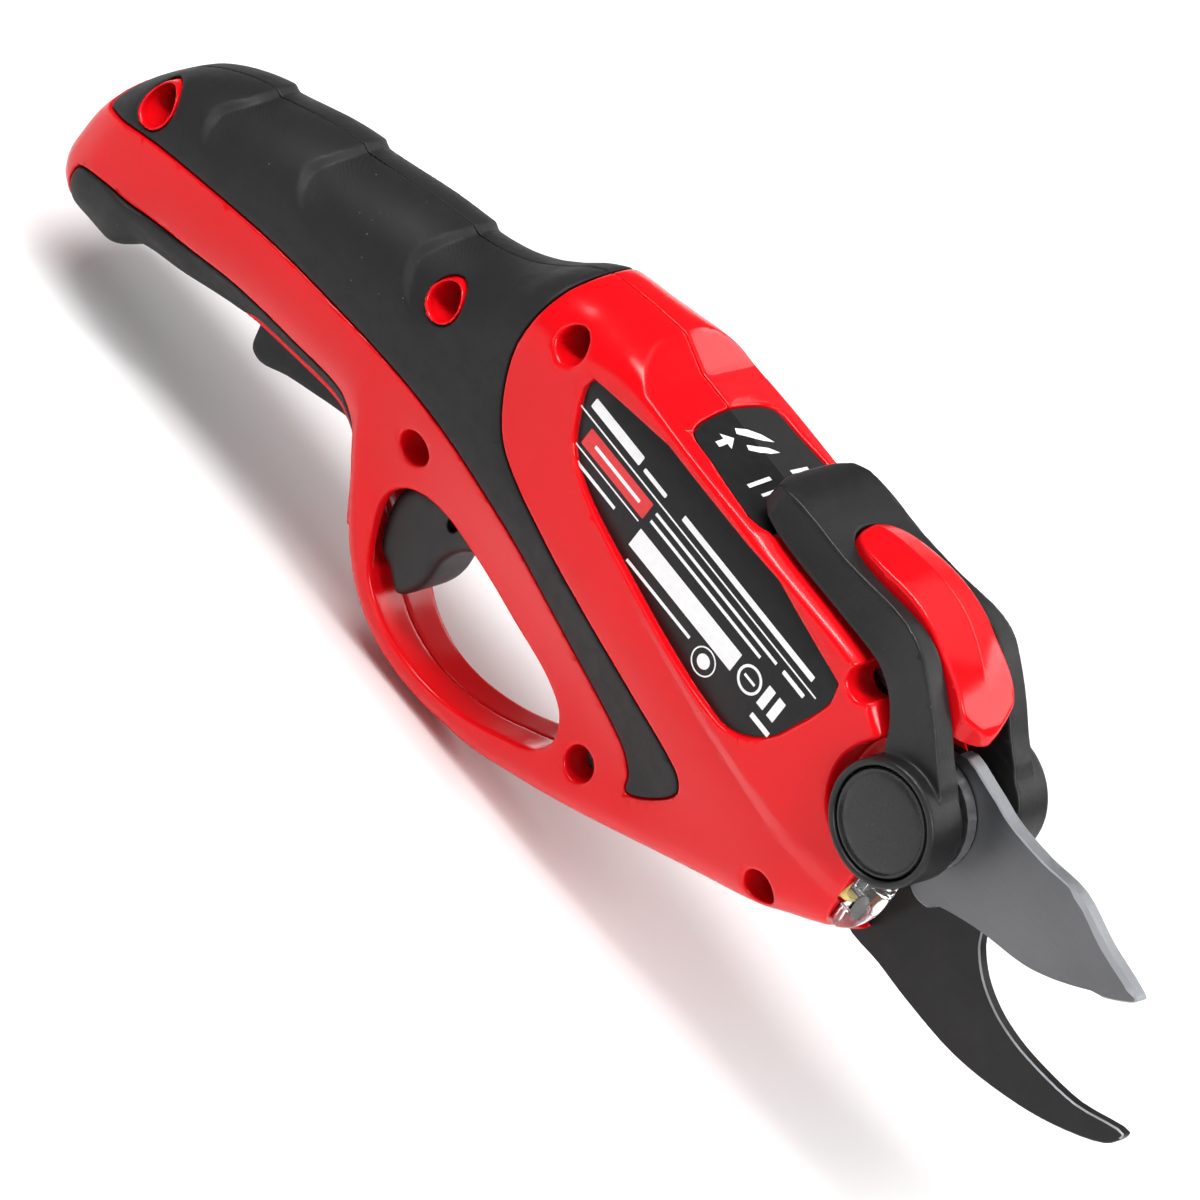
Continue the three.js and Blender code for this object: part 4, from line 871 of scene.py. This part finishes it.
def make_squeeze_lever():
    grid = Grid((-174, -8, -59.5), (-137, 8, -39), 0.3)
    across = np.abs(grid.y)
    side = grid.outline(smooth_loop(LEVER_SIDE, 4))
    field = smooth_max(side, across - LEVER_HALF, 2)
    field = less(field, grid.round_y(LEVER_PIVOT, LEVER_BORE), 0.3)
    well = np.sqrt(((grid.x + 162.4) / 1.25) ** 2 + grid.y**2) - 3.2
    field = less(field, np.maximum(well, -52.7 - grid.z), 0.3)
    lever = carve("squeeze_lever_pad", grid, field, "squeeze_lever", RUBBER, "safety_lever",
                  adaptivity=0.01)


# ------------------------------------------------------------------ plates, prints and turned pieces


def ccw(loop):
    loop = np.asarray(loop, float)
    nxt = np.roll(loop, -1, 0)
    area = np.sum(loop[:, 0] * nxt[:, 1] - nxt[:, 0] * loop[:, 1])
    return loop if area > 0 else loop[::-1]


def inset(loop, distance):
    """Outline moved to the left of its direction, each point by its own distance."""
    before, after = np.roll(loop, 1, 0), np.roll(loop, -1, 0)
    sides = []
    for a, b in ((before, loop), (loop, after)):
        d = b - a
        d = d / np.maximum(np.linalg.norm(d, axis=1, keepdims=True), 1e-9)
        sides.append(np.stack([-d[:, 1], d[:, 0]], 1))
    total = sides[0] + sides[1]
    scale = 2 / np.maximum((total**2).sum(1, keepdims=True), 1.0)
    return loop + total * scale * np.reshape(distance, (-1, 1))


def circle(centre, radius, count=HOLE_POINTS):
    angles = np.arange(count) * 2 * math.pi / count
    return np.stack([centre[0] + radius * np.cos(angles), centre[1] + radius * np.sin(angles)], 1)


def filled(loops):
    """Triangles that fill outlines: the first is the outside and the others are holes."""
    bm = bmesh.new()
    for loop in loops:
        corners = [bm.verts.new((u, v, 0)) for u, v in loop]
        for a, b in zip(corners, corners[1:] + corners[:1]):
            bm.edges.new((a, b))
    bm.verts.index_update()
    bmesh.ops.triangle_fill(bm, use_beauty=True, edges=bm.edges[:], normal=(0, 0, 1))
    faces = []
    for face in bm.faces:
        corners = [vert.index for vert in face.verts]
        faces.append(corners if face.normal.z > 0 else corners[::-1])
    bm.free()
    return faces


def slab(loops, levels, place):
    """Closed plate between outlines: each level is an inset and a height, from low to high.
    Returns points, faces and a list that says which faces are walls."""
    loops = [ccw(loops[0]), *[ccw(loop)[::-1] for loop in loops[1:]]]
    count = sum(len(loop) for loop in loops)
    rows, caps = [], []
    for distance, height in levels:
        moved = [inset(loop, distance if i == 0 or np.ndim(distance) == 0 else 0.25)
                 for i, loop in enumerate(loops)]
        flat = np.concatenate(moved)
        heights = np.zeros(count)
        heights[:] = height if np.ndim(height) == 0 else np.resize(height, count)
        rows.append(place(flat[:, 0], flat[:, 1], heights))
        caps.append(moved)
    faces = [face[::-1] for face in filled(caps[0])]
    top = (len(levels) - 1) * count
    faces += [[top + corner for corner in face] for face in filled(caps[-1])]
    walls = [False] * len(faces)
    for level in range(len(levels) - 1):
        start = level * count
        for loop in loops:
            for i in range(len(loop)):
                a, b = start + i, start + (i + 1) % len(loop)
                faces.append([a, b, b + count, a + count])
                walls.append(True)
            start += len(loop)
    return np.concatenate(rows), faces, walls


def on_side(u, v, height):
    """Drawn in x and z on the right side: height points out, along -y."""
    return np.stack([u, -height, v], 1)


def joined(parts):
    """One set of points and faces out of several."""
    points, faces = [], []
    for more, more_faces in parts:
        shift = sum(len(p) for p in points)
        points.append(more)
        faces += [[corner + shift for corner in face] for face in more_faces]
    return np.concatenate(points), faces


def flat_piece(name, points, faces, paint, materials, body, nodes, mirror=False, angle=28):
    """Piece with crisp edges; paint lists the index of each face's material, or is None."""
    if mirror:
        points = points * np.array([1, -1, 1])
        faces = [face[::-1] for face in faces]
    piece = new_object(name, to_world(points), faces, materials[0])
    for material in materials[1:]:
        piece.data.materials.append(material)
    piece.data.polygons.foreach_set("material_index", paint or [0] * len(faces))
    piece.data.set_sharp_from_angle(angle=math.radians(angle))
    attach(piece, body)
    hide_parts(*nodes)
    return piece


def turned(profile, place, sides=64):
    """Lathe: each row of the profile is a radius, a height and True where six lobes wave it."""
    angles = np.arange(sides) * 2 * math.pi / sides
    rows = []
    for radius, height, *wave in profile:
        ripple = 0.12 * radius * np.cos(6 * angles) if wave and wave[0] else 0
        reach = radius + ripple
        rows.append(place(reach * np.cos(angles), reach * np.sin(angles), np.full(sides, height)))
    faces = []
    for level in range(len(rows) - 1):
        for i in range(sides):
            a, b = level * sides + i, level * sides + (i + 1) % sides
            faces.append([a, b, b + sides, a + sides])
    last = (len(rows) - 1) * sides
    faces.append(list(range(sides))[::-1])
    faces.append([last + i for i in range(sides)])
    return np.concatenate(rows), faces


def bar(x0, x1, z0, z1, round_off=0.0):
    corners = []
    for cx, cz, start in ((x1, z1, 0), (x0, z1, 90), (x0, z0, 180), (x1, z0, 270)):
        inward = np.array([-1 if cx == x1 else 1, -1 if cz == z1 else 1]) * round_off
        steps = range(0, 91, 30) if round_off else (0,)
        for step in steps:
            turn = math.radians(start + step)
            corners.append((cx + inward[0] + round_off * math.cos(turn),
                            cz + inward[1] + round_off * math.sin(turn)))
    return corners


def white_bars(*rows):
    """Prints of bars, each given by x, x, z, z and a corner radius."""
    return [("white", [bar(*row)]) for row in rows]


SIDE_PRINTS = [
    *white_bars((-103.4, -27.2, 5.25, 5.6), (-101.3, -79, -1.4, -1.1)),
    ("red", [bar(-98.5, -78.6, -0.2, 4.1, 0.3)]),
    *white_bars((-95.6, -81.2, 1.5, 2.3, 0.2), (-77.6, -44.8, -6.6, -1.9, 0.1)),
    ("white", [circle((-40.4, -4.2), 3.1), circle((-40.4, -4.2), 2.5)]),
    *white_bars((-42, -38.8, -4.5, -3.9, 0.1)),
    ("white", [circle((-50.3, -10.2), 3.1), circle((-50.3, -10.2), 2.8)]),
    ("white", [circle((-50.3, -10.2), 1.6, 24)]),
    *white_bars(
        (-35.8, -30.2, -9.7, -8.5, 0.1), (-36.4, -34.4, -6.4, -1.2, 0.1),
        (-33.2, -31.2, -6.4, -1.2, 0.1), (-101.5, -86, 7.2, 9.6, 0.3), (-84.6, -77.5, 7.2, 8.2, 0.3),
        (-72, -30, 7.1, 8.5, 0.2), (-36, -29.4, 2.9, 3.9, 0.2), (-77, -38, 2.9, 3.6, 0.1),
        (-77, -41.5, 0.8, 1.5, 0.1), (-98.6, -84.5, -4.2, -3.5, 0.1), (-76, -55.6, -9.6, -8.9, 0.1),
    ),
]


def print_parts(prints, place, low, high):
    """Thin raised prints, as points, faces and the index of each face's ink."""
    parts, paint = [], []
    for ink, loops in prints:
        lift = 0.02 if ink == "white" else 0
        points, faces, _ = slab(loops, [(0, low), (0, high + lift)], place)
        parts.append((points, faces))
        paint += [1 if ink == "white" else 2] * len(faces)
    return *joined(parts), paint


SIDES = (("right", False), ("left", True))  # each side, and whether it is a mirror image


def make_side_labels():
    face = SIDE_LABEL_FACE
    outline = smooth_loop(SIDE_LABEL, 6)
    levels = [(0, face - 0.25), (0, face - 0.1), (0.2, face)]
    points, faces, _ = slab([outline], levels, on_side)
    prints, print_faces, ink = print_parts(SIDE_PRINTS, on_side, face - 0.05, face + 0.03)
    everything = joined([(points, faces), (prints, print_faces)])
    paint = [0] * len(faces) + ink
    for side, mirror in SIDES:
        piece = flat_piece(f"side_label_{side}", *everything, paint, [FILM, WHITE_INK, RED_INK], "body",
                           [f"label_plate_{side}"], mirror)


def on_roof(u, v, height):
    """Drawn in x and y on the platform's roof."""
    return np.stack([u, v, platform(np.minimum(u, -60), v) + height], 1)


def roof_split(loop):
    """The two parts of an outline on either side of the middle plane."""
    halves = []
    for side in (1, -1):
        kept = []
        loop = np.asarray(loop, float)
        for a, b in zip(loop, np.roll(loop, -1, 0)):
            if a[1] * side >= 0:
                kept.append(tuple(a))
            if a[1] * b[1] < 0:
                t = a[1] / (a[1] - b[1])
                kept.append((a[0] + t * (b[0] - a[0]), 0.0))
        if len(kept) > 2:
            halves.append(kept)
    return halves


ARROW = [(-79.5, -9), (-78.2, -9), (-78.2, -6.6), (-76.9, -6.6), (-78.85, -4.2), (-80.8, -6.6),
         (-79.5, -6.6)]
BLADE_ICON = [(-80.8, -2.2), (-79.6, 0.6), (-77.9, 3.2), (-75.6, 5.2), (-76.4, 2.6), (-77.4, 0.4),
              (-78.6, -1.4), (-79.6, -2.8)]
HOOK_ICON = [(-76.6, -2.6), (-75.4, -0.4), (-74.6, 2.2), (-73, 4.4), (-73.2, 1.6), (-74, -0.8),
             (-75.4, -3)]
TOP_PRINTS = [ARROW, BLADE_ICON, HOOK_ICON, bar(-68.6, -67.7, -9.6, -3.2), bar(-68.6, -67.7, 3.2, 8.8),
              bar(-65.6, -64.9, -8.2, 7.4)]


def make_top_label():
    outline = smooth_loop(TOP_LABEL, 3)
    layers = [(outline, 0, -1.1, -0.45), *[(shape, 1, -0.5, -0.42) for shape in TOP_PRINTS]]
    parts, paint = [], []
    for shape, ink, low, high in layers:
        for half in roof_split(shape):
            points, faces, _ = slab([half], [(0, low), (0, high)], on_roof)
            parts.append((points, faces))
            paint += [ink] * len(faces)
    points, faces = joined(parts)
    piece = flat_piece("top_label_plate", points, faces, paint, [FILM, WHITE_INK], "body", ["top_label"])


def dense(loop, spacing=1.0):
    """Outline with points added so that no side is longer than the spacing."""
    loop = np.asarray(loop, float)
    points = []
    for a, b in zip(loop, np.roll(loop, -1, 0)):
        count = max(1, int(np.linalg.norm(b - a) / spacing))
        points += [a + (b - a) * i / count for i in range(count)]
    return np.array(points)


def with_disc(loop, radius):
    """Outline joined with a disc round the pivot."""
    loop = dense(ccw(loop), 0.5)
    outside = np.hypot(loop[:, 0], loop[:, 1]) > radius + 0.1
    first = next(i for i in range(len(loop)) if outside[i] and not outside[i - 1])
    loop, outside = np.roll(loop, -first, 0), np.roll(outside, -first)
    kept = loop[outside]
    start = math.atan2(kept[-1][1], kept[-1][0])
    end = math.atan2(kept[0][1], kept[0][0])
    end += 2 * math.pi if end < start else 0
    steps = int((end - start) / math.radians(4))
    turns = [start + (end - start) * i / steps for i in range(1, steps)]
    arc = np.array([(radius * math.cos(t), radius * math.sin(t)) for t in turns])
    return np.concatenate([kept, arc])


def near_line(points, line, reach):
    """1 on a line of points and 0 further from it than a reach."""
    points = np.asarray(points, float)
    nearest = np.full(len(points), 1e9)
    for a, b in zip(np.asarray(line[:-1], float), np.asarray(line[1:], float)):
        e = b - a
        t = np.clip(((points - a) @ e) / (e @ e), 0, 1)
        nearest = np.minimum(nearest, np.linalg.norm(points - a - t[:, None] * e, axis=1))
    return np.clip(1 - nearest / reach, 0, 1)


def make_upper_blade():
    """Moving blade: ground spine and a bevelled cutting edge on its outer side."""
    near, far = -UPPER_BLADE[0], -UPPER_BLADE[1]
    outline = with_disc(smooth_loop(UPPER_EDGE, 4), HUB_RADIUS)
    share = near_line(ccw(outline), UPPER_EDGE[9:15], 2.5)
    front = near_line(ccw(outline), UPPER_EDGE[4:7], 2)
    bevel = 0.3 + 0.5 * share + 0.7 * front
    drop = 0.25 + (near - far - 0.9) * share + 0.6 * front
    levels = levels_for_holes([(0.25, far), (0, far + 0.25), (0, near - drop), (bevel, near)])
    points, faces, walls = slab([outline, circle((0, 0), BOLT_BORE)], levels, on_side)
    piece = flat_piece("moving_blade", points, faces, [int(wall) for wall in walls],
                       [BLADE_FACE, BLADE_GROUND], "blade", ["upper_blade"])


def make_lower_blade():
    """Fixed hooked blade, coated, with bare chamfers along its inner edge."""
    near, far = -LOWER_BLADE[0], -LOWER_BLADE[1]
    outline = with_disc(smooth_loop(LOWER_EDGE, 4), HUB_RADIUS)
    holes = [circle((0, 0), 6.9), circle((-21, -20.2), 1.8, 20), circle((-21, -26.4), 1.8, 20)]
    levels = [(0.3, far), (0, far + 0.3), (0, near - 0.3), (0.3, near)]
    points, faces, walls = slab([outline, *holes], levels, on_side)
    inner = near_line(points[:, [0, 2]], LOWER_EDGE[:9], 1.5) > 0
    chamfers = [int(wall and inner[face[0]] and points[face[2]][1] < LOWER_BLADE[0] + 0.1)
                for face, wall in zip(faces, walls)]
    piece = flat_piece("fixed_blade", points, faces, chamfers, [COATED, BLADE_GROUND], "body",
                       ["lower_blade"])


def levels_for_holes(levels):
    """Heights given for the outline's points, with the middle of the range for any hole's."""
    done = []
    for distance, height in levels:
        if np.ndim(height):
            rim = float(np.min(np.abs(height))) * np.sign(height[0])
            height = np.concatenate([height, np.full(HOLE_POINTS, rim)])
        done.append((distance, height))
    return done


def make_caps():
    """Round caps of the pivot, slightly domed, each in the ring of the yoke."""
    dome = [(r, RING_FACE - 0.1 - 0.6 * (r / 9.4) ** 2) for r in (9.4, 8, 6, 4, 2, 0.4)]
    profile = [(CAP_RADIUS, 16.3), (CAP_RADIUS, 17.3), (CAP_RADIUS - 0.35, 17.75), (10.3, 17.8),
               (9.9, 17.45), (9.6, 17.5), *dome]
    for side, mirror in SIDES:
        points, faces = turned(profile, on_side)
        piece = flat_piece(f"ring_cap_{side}", points, faces, None, [CAP], "yoke",
                           [f"pivot_cap_{side}"], mirror, 35)


def make_screws():
    """Screws deep in the recesses, each with a six-lobed socket."""
    for i, (x, z) in enumerate(SCREWS, 1):
        seat = SCREW_SEATS[i - 1] + GAP
        profile = [(1.4, -6), (1.4, seat), (3.0, seat), (3.0, seat + 1.2), (2.6, seat + 1.6),
                   (1.5, seat + 1.7), (1.35, seat + 1.65, True), (1.3, seat + 0.5, True), (0.2, seat + 0.4)]
        points, faces = turned(profile, on_side, 48)
        points = points + np.array([x, 0, z])
        piece = flat_piece(f"screw_{i}", points, faces, None, [SCREW_STEEL], "body",
                           [f"housing_screw_{i}"])


def along_x(u, v, height):
    return np.stack([height, u, v], 1)


def make_lamp():
    """Small lamp with a domed lens behind the clear window."""
    dome = [(2.2 * math.cos(math.radians(a)), -0.9 + 2.6 * math.sin(math.radians(a)))
            for a in (0, 20, 40, 60, 75, 86)]
    points, faces = turned([(2.45, -4.4), (2.45, -1.2), (2.2, -1.15), *dome], along_x, 40)
    points = points + np.array([0, *LAMP_PLACE])
    piece = flat_piece("lamp_bulb", points, faces, None, [LAMP], "body", ["lamp"], angle=40)


# ------------------------------------------------------------------ inner pieces

INNER_LOOKS = {
    "battery_cell": "cell", "cell_contact_front": "brass", "cell_contact_rear": "brass",
    "charging_socket": "black", "circuit_board": "board", "trigger_switch": "black",
    "switch_button": "red", "motor_end_cap": "black", "sun_gear": "brass", "planet_gear_1": "brass",
    "planet_gear_2": "brass", "planet_gear_3": "brass",
}


def paint_inner():
    """Pieces kept from the CAD, mostly out of sight: each gets a finished material."""
    looks = {"cell": CELL_WRAP, "brass": BRASS, "black": CAP, "board": BOARD, "red": RED}
    for name, node in frame["nodes"].items():
        if not node.hide_render:
            node.data.materials.clear()
            node.data.materials.append(looks.get(INNER_LOOKS.get(name), STEEL))


# ------------------------------------------------------------------ floor, light and camera


def make_floor():
    low = float(np.array(cad_box)[0][2]) - 0.001
    size = 6
    mesh = bpy.data.meshes.new("floor")
    corners = [(-size, -size, low), (size, -size, low), (size, size, low), (-size, size, low)]
    mesh.from_pydata(corners, [], [(0, 1, 2, 3)])
    mesh.materials.append(pale_floor())
    floor = bpy.data.objects.new("floor", mesh)
    bpy.context.scene.collection.objects.link(floor)


def softbox(name, direction, distance, size, power):
    """Large area light that faces the middle of the object from a direction."""
    data = bpy.data.lights.new(name, "AREA")
    data.shape = "RECTANGLE"
    data.size, data.size_y = size
    data.energy = power
    light = bpy.data.objects.new(name, data)
    toward = Vector(direction).normalized()
    light.location = toward * distance
    light.rotation_euler = toward.to_track_quat("Z", "Y").to_euler()
    bpy.context.scene.collection.objects.link(light)


def make_light():
    world = bpy.data.worlds.new("studio")
    world.use_nodes = True
    background = world.node_tree.nodes["Background"]
    background.inputs["Color"].default_value = (1, 1, 1, 1)
    background.inputs["Strength"].default_value = 0.1
    bpy.context.scene.world = world
    softbox("key", (-0.36, -0.2, 0.92), 1.0, (0.16, 0.7), 10)
    softbox("front_top", (0.85, -0.15, 0.65), 1.1, (0.3, 0.4), 7)
    softbox("side", (0.35, -1.0, 0.2), 1.4, (0.5, 0.9), 4)
    softbox("rim", (0.3, 1.0, 0.55), 1.2, (1.4, 0.3), 6)
    softbox("top", (0.1, 0.0, 1.0), 2.2, (2.6, 2.6), 26)


# The camera's axes in the model's frame, and its distance and picture width in metres.
RIGHT = Vector((0.5931, 0.6290, 0.5029)).normalized()
TOWARD = Vector((0.3108, -0.7550, 0.5777)).normalized()
UP = TOWARD.cross(RIGHT).normalized()
CAMERA_DISTANCE = 8
FRAME_WIDTH = 0.2321
FRAME_MIDDLE = (-0.0649, 0.0395)  # to the right of the pivot and above it, in metres
SENSOR = 36


def make_camera():
    data = bpy.data.cameras.new("camera")
    data.sensor_width = SENSOR
    data.lens = SENSOR * (CAMERA_DISTANCE + 0.045) / FRAME_WIDTH
    data.clip_end = 2 * CAMERA_DISTANCE
    camera = bpy.data.objects.new("camera", data)
    target = PIVOT + RIGHT * FRAME_MIDDLE[0] + UP * FRAME_MIDDLE[1]
    turn = Matrix((RIGHT, UP, TOWARD)).transposed().to_4x4()
    camera.matrix_world = Matrix.Translation(target + TOWARD * CAMERA_DISTANCE) @ turn
    bpy.context.scene.collection.objects.link(camera)
    bpy.context.scene.camera = camera
    bpy.context.scene.view_settings.view_transform = "Standard"


make_shells()
make_yoke()
make_slider()
make_trigger()
make_squeeze_lever()
make_side_labels()
make_top_label()
make_upper_blade()
make_lower_blade()
make_caps()
make_screws()
make_lamp()
paint_inner()
make_floor()
make_light()
make_camera()
